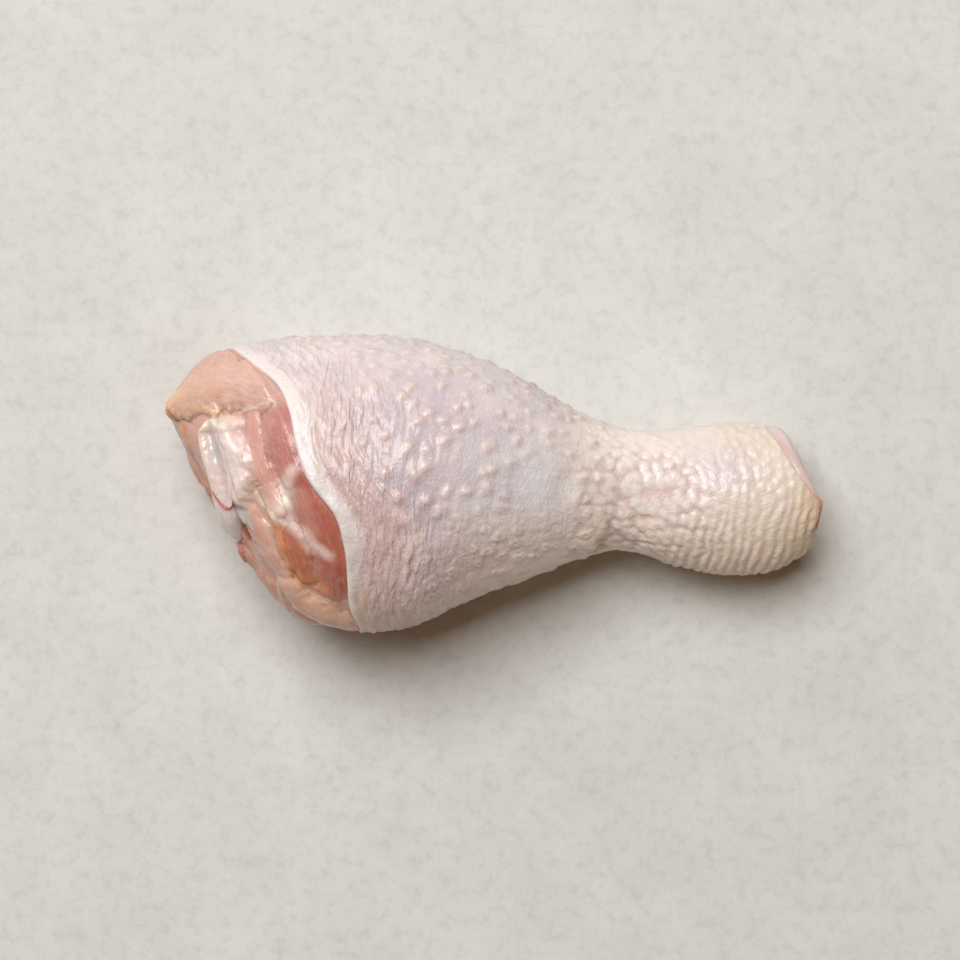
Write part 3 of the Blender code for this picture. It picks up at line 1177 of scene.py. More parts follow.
    def pimples(self, at: SkinPlaces, tone: Array) -> tuple[Array, Array]:
        """Feather follicles in staggered rows: small domes with cream tips, craters lower down.

        Args:
            at: the outer grid.
            tone: its colours so far.

        Returns:
            Heights in millimetres and the new colours.
        """
        bend = 0.12 * noise(at.points / 1.5, 67)
        grid = cells(at.x / 4.1 + 0.1 * at.arc / 5.0 + bend, at.arc / 3.7 - bend, 0.8, 61)
        small = beads(at.x / 2.1, at.arc / 1.9, 1.0, 64)
        size = 0.16 + 0.15 * grid.chance
        reach = fade(8, 15, at.past + 2 * noise(at.points / 6.0, 62)) * fade(25, 19, at.x)
        smooth = 1 - 0.8 * bell(at.x - 9, 7.5) * bell(at.arc - 1, 9.0)
        strong = reach * smooth * fade(-0.1, 0.2, grid.chance)
        dome = np.exp(-((grid.near / size) ** 2)) * strong
        low = fade(2.0, 12.0, at.arc)
        ring = np.exp(-(((grid.near - 0.19) / 0.08) ** 2)) * strong * low
        pit = np.exp(-((grid.near / 0.08) ** 2)) * strong * low
        fine = reach * (0.35 + 0.65 * fade(2.0, 16.0, at.arc)) * fade(0.35, 0.9, small.near) * small.chance
        height = 0.54 * dome * (1 - 0.6 * low) + 0.11 * ring - 0.22 * pit + (0.20 - 0.12 * low) * fine
        tone = mixed(tone, Tone.CREAM_SKIN, 0.75 * np.exp(-((grid.near / 0.19) ** 2)) * strong)
        tone = mixed(tone, Tone.WHITE_SKIN, 0.55 * ring + 0.40 * fine)
        tone = mixed(tone, Tone.BROWN_SKIN, 0.35 * pit)
        around = np.exp(-(((grid.near - 0.34) / 0.1) ** 2)) * strong + 0.6 * fine * small.second * low
        return height, mixed(tone, Tone.PINK_SKIN, 0.25 * around)

    def creases(self, at: SkinPlaces, tone: Array) -> tuple[Array, Array]:
        """Deep creases across the neck, where the ankle starts: ridged noise, long round the leg.

        Args:
            at: the outer grid.
            tone: its colours so far.

        Returns:
            Heights in millimetres and the new colours.
        """
        bent = at.x + 1.6 * noise(at.points / 5.0, 71) - 0.14 * at.arc
        wave = flat_noise(bent / 2.6, at.arc / 7.0, 72)
        reach = bell(at.x - 21.0 + 0.05 * at.arc, 4.4) * fade(-3.0, 8.0, at.arc)
        line = fade(0.05, -0.35, wave) * reach
        height = 0.9 * reach * wave - 0.2 * reach
        # Pink and brown in the crease valleys, browner towards -Y: partly the skin's colour, partly painted
        # shade.
        tone = mixed(tone, Tone.PINK_SKIN, 0.7 * line)
        return height, mixed(tone, Tone.BROWN_SKIN, 0.5 * line * fade(0.0, 12.0, at.arc))

    def pebbles(self, at: SkinPlaces, tone: Array) -> tuple[Array, Array]:
        """Lumpy skin of the ankle: soft swellings of two sizes in slanting rows, pink between.

        Args:
            at: the outer grid.
            tone: its colours so far.

        Returns:
            Heights in millimetres and the new colours.
        """
        bend = 0.5 * noise(at.points / 4.0, 81)
        u = (at.x + at.arc) / math.sqrt(2.0) + bend
        v = (at.arc - at.x) / math.sqrt(2.0) + bend
        big = beads(u / 2.3, v / 2.05, 0.62, 84)
        small = beads(u / 1.3, v / 1.1, 0.8, 88)
        ragged = at.x + 3.0 * noise(at.points / 3.5, 82)
        reach = fade(10 + 0.15 * at.arc, 25 + 0.2 * at.arc, ragged)
        reach = reach * fade(52, 38, at.x + 0.5 * at.arc) * (0.25 + 0.75 * fade(-14, -3, at.arc))
        reach = reach * (1 - 0.7 * bell(at.x - 45.0, 5.0) * bell(at.points[..., 1] - 3.5, 4.5))
        rough = 0.7 + 0.6 * noise(at.points / 6.0, 85)
        dome = np.clip(1.0 + 0.5 * np.log(big.near + 1e-9), 0.0, 1.0) ** 0.7
        height = reach * rough * (0.56 * dome + 0.10 * small.near - 0.35)
        tone = mixed(tone, Tone.WHITE_SKIN, 0.7 * reach * big.near)
        tone = mixed(tone, Tone.PEACH_SKIN, 0.7 * reach * fade(0.55, 0.1, big.near))
        tone = mixed(tone, Tone.PINK_SKIN, 0.35 * reach * fade(0.30, 0.0, big.near) * big.chance)
        scales = beads(at.x / 1.5, at.arc / 2.2, 0.9, 86)
        upper = fade(40, 47, at.x) * fade(5, -3, at.arc)
        height = height + upper * 0.30 * (scales.near - 0.5)
        return height, mixed(tone, Tone.YELLOW_SKIN, 0.45 * upper * (1 - scales.near))

    def ridges(self, at: SkinPlaces, tone: Array) -> tuple[Array, Array]:
        """Wavy ridges round the lower ankle, broken into long beads: a bent cosine times a slow one.

        Args:
            at: the outer grid.
            tone: its colours so far.

        Returns:
            Heights in millimetres and the new colours.
        """
        bent = at.x + 0.16 * at.arc + 1.2 * noise(at.points / 6.0, 91) + 0.35 * noise(at.points / 2.0, 95)
        knot = flat_noise(bent / 2.2, at.arc / 2.8, 94)
        weak = fade(-0.5, 0.3, flat_noise(bent / 4.4, at.arc / 7.0, 96))
        wave = 0.5 + 0.5 * np.cos(2 * np.pi * bent / 2.05)
        wave = np.clip(wave**0.8 * (0.85 + 0.5 * knot), 0.0, 1.0)
        reach = fade(35, 43, at.x + 0.35 * at.arc) * fade(-3.0, 6.0, at.arc + 0.15 * (at.x - 50))
        rough = (0.9 + 0.5 * noise(at.points / 4.0, 93)) * (0.6 + 0.4 * weak)
        height = reach * rough * (0.55 * wave - 0.28) + 0.07 * reach * noise(at.points / 0.8, 92)
        line = reach * fade(0.35, 0.0, wave)
        tone = mixed(tone, Tone.YELLOW_SKIN, 0.36 * reach)
        tone = mixed(tone, Tone.WHITE_SKIN, 0.5 * reach * wave)
        # Peach and brown in the valleys between the ridges, browner towards -Y: partly the skin's colour,
        # partly painted shade.
        tone = mixed(tone, Tone.PEACH_SKIN, 0.35 * line)
        tone = mixed(tone, Tone.BROWN_SKIN, 0.30 * line * fade(4.0, 18.0, at.arc))
        patch = bell(at.x - 44.5, 5.0) * bell(at.points[..., 1] - 3.0, 3.4)
        tone = mixed(tone, Tone.LILAC_SKIN, 0.8 * patch)
        corner = fade(57, 63, at.x - 0.25 * at.points[..., 1])
        tone = mixed(tone, Tone.YELLOW_SKIN, 0.8 * corner)
        return height, mixed(tone, Tone.BROWN_SKIN, 0.25 * fade(61.0, 64.0, at.x))

    def sheet(self) -> Sheet:
        """Whole closed skin, from the bottom of the knee recess over the outside into the hock recess.

        The roll at either edge is half a turn between the inner and the outer wall.

        Returns:
            The grid with its values.
        """
        at = self.places()
        height, tone = self.shape(at)
        outside = self.leg.layer(at.x, at.angle, height)
        knee = self.roll(at.angle[0], self.knee_edge(at.angle[0]), height[0], self.lip, self.recess, -1.0)
        last = at.angle[-1]
        hock = self.roll(last, self.leg.hock_edge(last), height[-1], self.hock_lip, self.hock_recess, 1.0)
        points = np.concatenate([knee[:-1], outside, hock[::-1][1:]])
        first = np.repeat(tone[:1], len(knee) - 1, axis=0)
        last = np.repeat(tone[-1:], len(hock) - 1, axis=0)
        tones = np.concatenate([first, tone, mixed(last, Tone.YELLOW_SKIN, np.full(last.shape[:2], 0.4))])
        x = points[..., 0]
        arc = self.leg.arc(x, np.broadcast_to(at.angle[0], x.shape))
        grain = np.stack([x, arc / 4.5, np.zeros(x.shape)], axis=-1)
        start = self.knee_edge(at.angle[0])
        past = x - start
        mid_arc = self.leg.arc(x, np.broadcast_to(at.angle[0], x.shape))
        near = fade(1.5, 4.0, past) * fade(26, 9, past + 3 * noise(points / 7.0, 97))
        fold = near * (0.3 + 0.7 * fade(-42.0, -22.0, mid_arc))
        fold = fold + 0.22 * fade(4.0, 9.0, past) * fade(0.0, 0.4, noise(points / 5.0, 98)) * fade(24, 16, x)
        wet = 0.45 + 0.25 * noise(points / 12.0, 96) - 0.3 * fade(22.0, 34.0, points[..., 0])
        return Sheet(points, tones, grain, wet, np.clip(fold, 0.0, 1.0))

    def roll(self, angle: Array, edge: Array, height: Array, lip: float, recess: float, way: float) -> Array:
        """Rows from the bottom of a recess along its wall and round the edge to the outside.

        Args:
            angle: the columns' angles.
            edge: X of the skin's edge.
            height: height of the outside at the edge.
            lip: how far the edge reaches out.
            recess: how deep the wall goes in.
            way: -1 at the knee, 1 at the hock.

        Returns:
            Rows by columns of points, the last row on the outside.
        """
        inner = -self.thickness
        depth = np.linspace(recess, recess / self.wall_rows, self.wall_rows)
        wall = [self.leg.layer(edge - way * d, angle, np.full(angle.shape, inner)) for d in depth]
        turns = np.linspace(-np.pi / 2, np.pi / 2, self.roll_rows)
        middle, half = (height + inner) / 2, (height - inner) / 2
        lumpy = 0.8 + 0.25 * np.sin(3 * angle) * np.cos(5 * angle + 1)
        degrees = np.degrees(angle)
        lumpy = lumpy * (1.0 - 0.75 * bell(degrees - 4.0, 32.0)) * (1.0 - 0.5 * bell(degrees - 180.0, 32.0))
        turned = [
            self.leg.layer(edge + way * lip * lumpy * np.cos(a), angle, middle + half * np.sin(a))
            for a in turns
        ]
        return np.array(wall + turned)

    def build(self, material: bpy.types.Material) -> bpy.types.Object:
        """The skin's object."""
        return closed_piece("skin_sleeve", self.leg, self.sheet(), material)


# ---------------------------------------------------------------- flesh at the knee


class KneeRing(NamedTuple):
    """A section of the knee face: both ends in plan, half height, middle height and bow."""

    step: float
    front_x: float
    front_y: float
    back_x: float
    back_y: float
    half: float
    middle: float
    bow: float


KNEE_RINGS = (
    KneeRing(0.0, -55.6, 25.8, -29.4, -27.8, 20.8, 22.2, 6.4),
    KneeRing(1.0, -58.2, 24.5, -35.0, -28.1, 20.4, 21.8, 5.6),
    KneeRing(2.0, -60.9, 21.8, -38.6, -27.2, 18.9, 21.4, 4.4),
    KneeRing(3.0, -63.1, 18.6, -41.2, -25.6, 16.2, 20.9, 3.0),
    KneeRing(4.0, -64.7, 15.7, -44.2, -22.8, 12.6, 20.3, 1.8),
    KneeRing(5.0, -64.2, 12.6, -46.8, -19.4, 9.2, 19.8, 1.0),
    KneeRing(6.0, -62.6, 9.4, -50.3, -14.8, 6.2, 19.4, 0.4),
    KneeRing(7.0, -61.0, 5.0, -53.9, -9.2, 3.3, 19.2, 0.0),
    KneeRing(8.0, -58.9, 0.4, -57.6, -2.6, 0.5, 19.0, 0.0),
)


@dataclass
class Knee:
    """The cut knee: muscles, fat, fascia and cartilage sculpted on one dome."""

    leg: Leg
    strokes: tuple[Stroke, ...]
    columns: int = 430
    face_rows: int = 196
    tuck_rows: int = 24
    tuck: float = 7.5
    crowding: float = 0.3
    sunk: float = 0.9
    corner_rise: float = 1.1
    below_skin: float = -1.05

    def __post_init__(self) -> None:
        """Lays the dome and its strokes, so that other pieces can sit on them."""
        self.surface = Surface.on(self.base(), Tone.PEACH_MEAT)
        row = np.arange(len(self.surface.points))[:, None]
        self.surface.height -= self.sunk * fade(self.tuck_rows, self.tuck_rows + 30, row)
        degrees = np.degrees(self.angles())[None]
        corner = bell(degrees - 4.0, 36.0) + 0.45 * bell(degrees - 190.0, 20.0)
        self.surface.height += self.corner_rise * corner * fade(self.tuck_rows - 1, self.tuck_rows + 7, row)
        self.surface.height += 0.35 * noise(self.surface.points / 5.0, 101)
        self.surface.height += 0.12 * noise(self.surface.points / 1.8, 102)
        cloud = 0.5 + noise(self.surface.points / 6.0, 103)
        self.surface.tone = mixed(self.surface.tone, Tone.PINK_MEAT, cloud)
        for stroke in self.strokes:
            self.surface.lay(self.path(stroke), stroke)
        free = fade(self.tuck_rows - 8, self.tuck_rows + 6, row)
        self.surface.height *= free
        self.surface.mass *= free
        self.bed = self.surface.raised().reshape(-1, 3)

    def angles(self) -> Array:
        """Column angles, closer together on top."""
        turn = np.linspace(-0.5 * np.pi, 1.5 * np.pi, self.columns, endpoint=False)
        return turn + self.crowding * np.cos(turn)

    def base(self) -> Array:
        """Rows of the bare dome: tucked under the skin first, then ring by ring to the tip.

        A ring runs between its two ends in plan, oval upright, its top bowed towards the hock.

        Returns:
            Rows by columns of points.
        """
        angle = self.angles()[None]
        across, up = self.leg.oval(angle)
        step = np.linspace(0.0, 8.0, self.face_rows)[:, None]
        fx, fy, bx, by, half, middle, bow = (through(KNEE_RINGS, k, step) for k in range(1, 8))
        x = (fx + bx) / 2 + (fx - bx) / 2 * across + bow * np.abs(np.sin(angle)) ** 0.8
        y = (fy + by) / 2 + (fy - by) / 2 * across
        face = np.stack([x, y, np.maximum(middle + half * up, 0.0)], axis=-1)
        wide = np.broadcast_to(angle, (self.tuck_rows, self.columns))
        inward = np.linspace(self.tuck, 0.0, self.tuck_rows)[:, None]
        tucked = self.leg.layer(self.leg.knee_edge(wide) + inward, wide, np.full(wide.shape, self.below_skin))
        rim = tucked[-1:]
        near = fade(1.6, 0.0, step)[..., None]
        return np.concatenate([tucked[:-1], face + (rim - face[:1]) * near])

    def path(self, stroke: Stroke) -> Array:
        """Samples of a stroke on the dome: each plan place goes to the nearest point seen from above.

        Args:
            stroke: the stroke.

        Returns:
            Its path on the dome.
        """
        wanted = along(stroke.path, 44)
        points = self.surface.points.reshape(-1, 3)
        normals = self.surface.normals.reshape(-1, 3)
        side = -1.0 if stroke.below else 1.0
        seen = points[normals[:, 2] * side > -0.05]
        gap = np.sum((wanted[:, None, :2] - seen[None, :, :2]) ** 2, axis=-1)
        found = seen[np.argmin(gap, axis=1)]
        weights = np.array([0.25, 0.5, 0.25])
        padded = np.concatenate([found[:1], found, found[-1:]])
        return sum(w * padded[k : k + len(found)] for k, w in enumerate(weights))

    def build(self, material: bpy.types.Material) -> bpy.types.Object:
        """The flesh's object.

        Args:
            material: what it is made of.

        Returns:
            The object.
        """
        s = self.surface
        sheet = Sheet(s.raised(), s.tone, s.grain, s.wet, 0.5 + 0.5 * noise(s.points / 3.5, 104))
        return closed_piece("knee_flesh", self.leg, sheet, material)


KNEE_STROKES = (
    # the lower side and the back
    Stroke(Mark.MUSCLE, ((-60, 14), (-50, 2), (-42, -12), (-34, -24)),
           (6, 9, 7), 1.6, Tone.PINK_MEAT, fibre=0.8, below=True),
    Stroke(Mark.MUSCLE, ((-57, 20), (-46, 10), (-36, -2)),
           (5, 8, 6), 1.8, Tone.PEACH_MEAT, fibre=0.8, below=True),
    Stroke(Mark.MUSCLE, ((-52, -6), (-44, -16), (-36, -24)),
           (4, 6, 5), 1.4, Tone.DULL_MEAT, fibre=0.8, below=True),
    Stroke(Mark.RIDGE, ((-58, 12), (-50, -1), (-43, -12)),
           (0.8, 1.2, 0.8), -0.4, Tone.FASCIA, cover=0.7, below=True),
    # the back lobes, low on the -Y side
    Stroke(Mark.MUSCLE, ((-50.2, -13.5), (-46.2, -18.7), (-42.0, -22.9), (-38.4, -26.6)),
           (2.6, 4.0, 4.4), 0.8, Tone.DULL_MEAT, fibre=0.5),
    # Dark red over the back lobe: partly the meat's colour, partly painted shade.
    Stroke(Mark.STAIN, ((-48.6, -15.5), (-45.0, -20.5), (-41.4, -24.5)),
           (1.6, 3.0, 2.4), 0.0, Tone.DARK_MEAT, cover=0.5, edge=1.0),
    Stroke(Mark.MUSCLE, ((-47.8, -5.6), (-45.4, -10.0), (-43.0, -14.8), (-41.4, -17.6)),
           (2.8, 4.2, 3.4), 0.9, Tone.PEACH_MEAT, fibre=0.5),
    Stroke(Mark.STAIN, ((-46.9, -7.0), (-44.6, -12.0), (-42.6, -16.0)),
           (1.6, 2.6, 2.0), 0.0, Tone.PINK_MEAT, cover=0.6, edge=0.9),
    Stroke(Mark.MUSCLE, ((-40.6, -19.4), (-38.0, -23.0), (-34.0, -25.4), (-28.6, -27.0)),
           (3.4, 5.0, 4.2), 1.5, Tone.PEACH_MEAT, edge=0.4, fibre=0.15),
    Stroke(Mark.RIDGE, ((-43.4, -18.0), (-42.0, -22.3), (-39.4, -26.8)),
           (0.5, 0.8, 0.5), 0.2, Tone.FASCIA, cover=0.6),
    Stroke(Mark.LUMPS, ((-34.8, -20.4), (-32.6, -20.9), (-30.6, -21.8)),
           (0.9, 1.6, 1.0), 0.3, Tone.ROSE_MEAT, cover=0.8, edge=0.9),
    Stroke(Mark.STAIN, ((-37.0, -20.5), (-33.6, -24.2), (-29.5, -26.5)),
           (2.4, 3.4, 2.8), 0.0, Tone.YELLOW_FAT, cover=0.35, edge=0.9),
    # the tan-red and dark-red muscles beside the skin
    Stroke(Mark.MUSCLE, ((-38.8, -9.5), (-38.2, -13.0), (-36.8, -17.5)),
           (2.2, 3.2, 2.8), 0.8, Tone.DARK_MEAT, cover=0.9, fibre=0.6),
    Stroke(Mark.MUSCLE, ((-37.4, 2.0), (-34.6, -5.1), (-32.0, -11.0), (-30.6, -19.4)),
           (3.2, 5.2, 4.2), 0.9, Tone.DARK_MEAT, cover=0.95, fibre=0.4),
    Stroke(Mark.STAIN, ((-37.0, -1.5), (-36.0, -5.5), (-34.6, -9.0)),
           (1.6, 2.4, 1.6), 0.0, Tone.PINK_MEAT, cover=0.45, edge=0.9),
    Stroke(Mark.STAIN, ((-40.4, -8.4), (-38.6, -12.0), (-36.8, -15.6)),
           (1.8, 3.0, 2.4), 0.0, Tone.ORANGE_FAT, cover=0.2, edge=1.0),
    Stroke(Mark.STAIN, ((-39.6, -16.4), (-37.2, -18.6), (-33.6, -19.8)),
           (1.2, 2.0, 1.8), 0.0, Tone.ORANGE_FAT, cover=0.85, edge=1.0),
    # fat, from orange to white, down the middle
    Stroke(Mark.MUSCLE, ((-42.8, -5.4), (-41.8, -8.8), (-40.8, -12.5), (-39.6, -15.8)),
           (1.4, 2.4, 2.0), 0.9, Tone.ORANGE_FAT, cover=0.6, edge=1.0),
    # the magenta muscles above
    Stroke(Mark.MUSCLE, ((-41.6, 14.6), (-41.0, 9.8), (-40.0, 5.6), (-38.4, 1.4)),
           (4.0, 4.8, 3.2), 1.0, Tone.MAGENTA_MEAT, fibre=0.5),
    Stroke(Mark.MUSCLE, ((-46.6, 13.6), (-46.2, 8.8), (-45.4, 3.9), (-43.6, -0.8), (-41.4, -5.0)),
           (2.2, 3.0, 2.2), 0.9, Tone.PINK_MEAT, edge=0.9, fibre=0.25),
    Stroke(Mark.STAIN, ((-43.0, 13.4), (-44.0, 10.4), (-44.4, 7.0)),
           (1.2, 1.6, 1.2), 0.0, Tone.ROSE_MEAT, cover=0.3, edge=0.9),
    Stroke(Mark.STAIN, ((-44.6, 0.0), (-43.0, -3.0), (-41.6, -5.4)),
           (1.4, 2.2, 1.4), 0.0, Tone.PALE_FAT, cover=0.15, edge=0.9),
    # the dusky strip at the left
    Stroke(Mark.MUSCLE, ((-61.6, 11.0), (-60.6, 6.8), (-59.0, 2.1), (-57.4, -1.8)),
           (1.8, 2.0, 1.4), 0.6, Tone.DULL_MEAT, fibre=0.4),
    Stroke(Mark.STAIN, ((-61.4, 10.4), (-60.4, 6.6), (-59.0, 2.6)),
           (1.2, 1.8, 1.2), 0.0, Tone.PEACH_MEAT, cover=0.5, edge=0.9),
    # the big peach lobe
    Stroke(Mark.MUSCLE, ((-43.2, 18.4), (-49.1, 19.4), (-55.6, 18.8), (-60.2, 16.9), (-62.7, 14.8)),
           (5.6, 5.9, 2.7), 2.0, Tone.PEACH_MEAT, edge=0.15, fibre=0.08),
    Stroke(Mark.STAIN, ((-41.8, 16.8), (-46.0, 18.0), (-50.6, 19.6)),
           (2.6, 4.0, 2.8), 0.0, Tone.ROSE_MEAT, cover=0.8, edge=0.9, fibre=0.5),
    Stroke(Mark.STAIN, ((-60.4, 17.4), (-62.4, 16.0), (-64.0, 14.0)),
           (1.8, 2.8, 1.8), 0.0, Tone.YELLOW_FAT, cover=0.85, edge=0.9),
    Stroke(Mark.RIDGE, ((-62.6, 14.2), (-62.4, 13.1), (-62.1, 12.0)),
           (0.4, 0.8, 0.4), -0.5, Tone.RUST, cover=0.75),
    Stroke(Mark.RIDGE, ((-58.0, 15.0), (-56.2, 14.2), (-54.6, 13.9)),
           (0.9, 1.4, 0.9), 0.1, Tone.YELLOW_FAT, cover=0.6, edge=1.0),
    Stroke(Mark.RIDGE, ((-53.3, 14.4), (-52.9, 13.9), (-52.5, 13.6)),
           (0.4, 0.6, 0.3), -0.15, Tone.RUST, cover=0.6, edge=0.9),
    Stroke(Mark.RIDGE, ((-49.9, 13.9), (-47.6, 14.2), (-44.4, 15.0), (-41.4, 15.5)),
           (0.2, 0.3, 0.2), 0.05, Tone.WHITE_FAT, cover=0.5),
    # fascia between the muscles
    Stroke(Mark.RIDGE, ((-38.4, 2.6), (-39.9, 0.0), (-40.5, -3.2), (-40.6, -6.4)),
           (1.2, 2.4, 1.6), 0.2, Tone.WHITE_FAT, cover=0.85, edge=1.0),
    Stroke(Mark.RIDGE, ((-41.4, -5.6), (-39.0, -7.8), (-36.6, -10.0), (-34.2, -11.9), (-31.8, -13.2)),
           (1.2, 2.0, 1.3), 0.12, Tone.PALE_FAT, cover=0.9, edge=1.0),
    Stroke(Mark.RIDGE, ((-48.0, 1.0), (-46.6, -1.2), (-45.0, -3.4), (-42.6, -6.2)),
           (0.7, 1.3, 0.8), 0.25, Tone.WHITE_FAT, cover=0.8, edge=0.9),
    Stroke(Mark.RIDGE, ((-49.1, -6.2), (-48.0, -9.8), (-46.2, -13.4), (-44.4, -16.3)),
           (0.25, 0.4, 0.25), 0.18, Tone.PALE_FAT, cover=0.7),
    Stroke(Mark.RIDGE, ((-49.6, -7.4), (-49.0, -8.6), (-48.0, -9.2)),
           (0.2, 0.3, 0.2), 0.18, Tone.PALE_FAT, cover=0.7),
    Stroke(Mark.RIDGE, ((-46.9, 0.0), (-46.5, -0.6), (-46.1, -1.2)),
           (0.6, 1.0, 0.6), -0.4, Tone.RUST, cover=0.6, edge=0.9),
    # the dark hollow below the bone, its dark red partly the meat's colour and partly painted shade, and the
    # red knob
    Stroke(Mark.RIDGE, ((-49.6, -7.6), (-49.1, -9.6), (-48.8, -11.4)),
           (1.1, 1.8, 1.1), -1.7, Tone.DARK_MEAT, cover=1.0),
    Stroke(Mark.STAIN, ((-49.4, -8.2), (-49.0, -9.6), (-48.7, -11.0)),
           (0.7, 1.3, 0.7), 0.0, Tone.RUST, cover=0.8),
    Stroke(Mark.MUSCLE, ((-50.4, -12.6), (-50.0, -13.6), (-49.4, -14.8)),
           (0.9, 1.3, 0.8), 1.3, Tone.MAGENTA_MEAT, cover=0.7),
    # cartilage and fat lumps round the bone
    Stroke(Mark.MUSCLE, ((-50.6, -2.4), (-49.6, -4.6), (-48.4, -6.8)),
           (1.8, 2.4, 1.6), 1.1, Tone.BLUE_CARTILAGE_AND_SHADE, cover=0.95, edge=0.9),
    Stroke(Mark.RIDGE, ((-52.2, 9.8), (-51.0, 7.6), (-49.9, 4.6), (-49.1, 1.2), (-48.9, -2.6)),
           (3.0, 3.7, 2.8), 1.8, Tone.PALE_FAT, edge=1.0, wander=0.15),
    Stroke(Mark.LUMPS, ((-52.0, 9.8), (-50.8, 7.6), (-49.6, 4.6), (-48.9, 1.4), (-48.4, -1.0)),
           (2.8, 3.4, 2.2), 0.2, Tone.WHITE_SKIN, cover=0.9, edge=0.9),
    Stroke(Mark.RIDGE, ((-55.8, 11.6), (-53.2, 11.4), (-50.8, 11.6), (-48.8, 11.8)),
           (1.2, 1.8, 1.0), 0.6, Tone.WHITE_FAT, edge=1.0, wander=0.2),
    Stroke(Mark.STAIN, ((-50.2, -2.8), (-49.2, -4.8), (-47.8, -7.0)),
           (1.4, 2.4, 1.6), 0.0, Tone.BLUE_CARTILAGE_AND_SHADE, cover=0.85, edge=1.0),
    Stroke(Mark.STAIN, ((-47.4, 0.8), (-46.4, -0.4), (-45.6, -1.8)),
           (0.9, 1.4, 0.9), 0.0, Tone.OLIVE_CARTILAGE, cover=0.7, edge=1.0),
)


# ---------------------------------------------------------------- bone ends and small parts


class Track(NamedTuple):
    """A path on a surface with the way out of it and the way across."""

    points: Array
    out: Array
    across: Array


def track(knee: Knee, path: Sequence[tuple[float, float]], count: int, lean: float) -> Track:
    """Lays a plan path on the finished flesh.

    Args:
        knee: the flesh.
        path: X and Y of a few places.
        count: how many samples.
        lean: how far the way out is turned up.

    Returns:
        The samples, outward normals smoothed along the path, and unit vectors across it.
    """
    raised = knee.surface.raised().reshape(-1, 3)
    normals = knee.surface.normals.reshape(-1, 3)
    up = normals[:, 2] > -0.05
    seen, facing = raised[up], normals[up]
    wanted = along(path, count)
    found = np.argmin(np.sum((wanted[:, None] - seen[None, :, :2]) ** 2, axis=-1), axis=1)
    points, out = seen[found], facing[found]
    apart = np.sum((wanted[:, None] - knee.bed[None, :, :2]) ** 2, axis=-1)
    highest = np.where(apart < 0.4**2, knee.bed[None, :, 2], -1.0).max(axis=1)
    points = np.column_stack([points[:, :2], np.maximum(points[:, 2], highest)])
    for _ in range(12):
        points = np.concatenate([points[:1], (points[:-2] + 2 * points[1:-1] + points[2:]) / 4, points[-1:]])
        out = unit(np.concatenate([out[:1], (out[:-2] + 2 * out[1:-1] + out[2:]) / 4, out[-1:]]))
    out = unit(out + np.array([0.0, 0.0, lean]))
    forward = unit(np.gradient(points, axis=0))
    return Track(points, out, unit(np.cross(out, forward)))


@dataclass(frozen=True)
class Carried:
    """A rounded body carried along a path on the flesh.

    wide, high and low are tables of place along and value: half width, height above the flesh and
    depth below it. hollow is how far its middle sinks, rim how far its right edge stands up, square
    how square its section is, and lift how far the whole body stands off the flesh.
    """

    name: str
    path: Table
    wide: Table
    high: Table
    low: float
    hollow: Table
    square: float
    tone: Tone
    patches: tuple[tuple[float, float, float, float, Tone, float], ...]
    lumps: float = 0.12
    rim: Table = ((0.0, 0.0), (1.0, 0.0))
    lift: Table = ((0.0, 0.0), (1.0, 0.0))
    lean: float = 0.0
    rows: int = 130
    columns: int = 96

    def build(self, knee: Knee, material: bpy.types.Material) -> bpy.types.Object:
        """Builds the body: at each place a squared oval across the path, sunk along its middle.

        Args:
            knee: the flesh that it lies on.
            material: its finish.

        Returns:
            The linked object.
        """
        on = track(knee, self.path, self.rows, self.lean)
        share = np.linspace(0.0, 1.0, self.rows)[:, None]
        turn = np.linspace(0.0, 2 * np.pi, self.columns, endpoint=False)[None]
        power = 2.0 / self.square
        c = np.sign(np.cos(turn)) * np.abs(np.cos(turn)) ** power
        s = np.sign(np.sin(turn)) * np.abs(np.sin(turn)) ** power
        ends = np.sqrt(np.clip(1 - np.abs(2 * share - 1) ** 6, 0.0025, 1.0))
        across = through(self.wide, 1, share) * ends * c
        hollow, rim, high = (through(table, 1, share) for table in (self.hollow, self.rim, self.high))
        above, under = np.clip(s, 0.0, 1.0), np.clip(s, -1.0, 0.0)
        sunk = hollow * bell(c + 0.2, 0.42) - rim * bell(c - 0.68, 0.34)
        rise = (high * ends - sunk) * above + self.low * under
        rise = rise + through(self.lift, 1, share)
        points = (
            on.points[:, None] + on.across[:, None] * across[..., None] + on.out[:, None] * rise[..., None]
        )
        bumps = self.lumps * (noise(points / 2.2, 111) + 0.6 * noise(points / 0.9, 112))
        points = points + on.out[:, None] * (bumps * np.clip(s, 0.0, 1.0))[..., None]
        knee.bed = np.concatenate([knee.bed, points.reshape(-1, 3)])
        tone = tinted(across.shape, self.tone)
        for place, side, long, wide, colour, cover in self.patches:
            spot = bell(share - place, long) * bell(c - side, wide) * cover
            tone = mixed(tone, colour, spot * (1 + 0.5 * noise(points / 1.5, 113)))
        flat = np.ones(across.shape)
        sheet = Sheet(points, tone, points.copy(), 0.7 * flat, flat)
        return closed_piece(self.name, knee.leg, sheet, material)


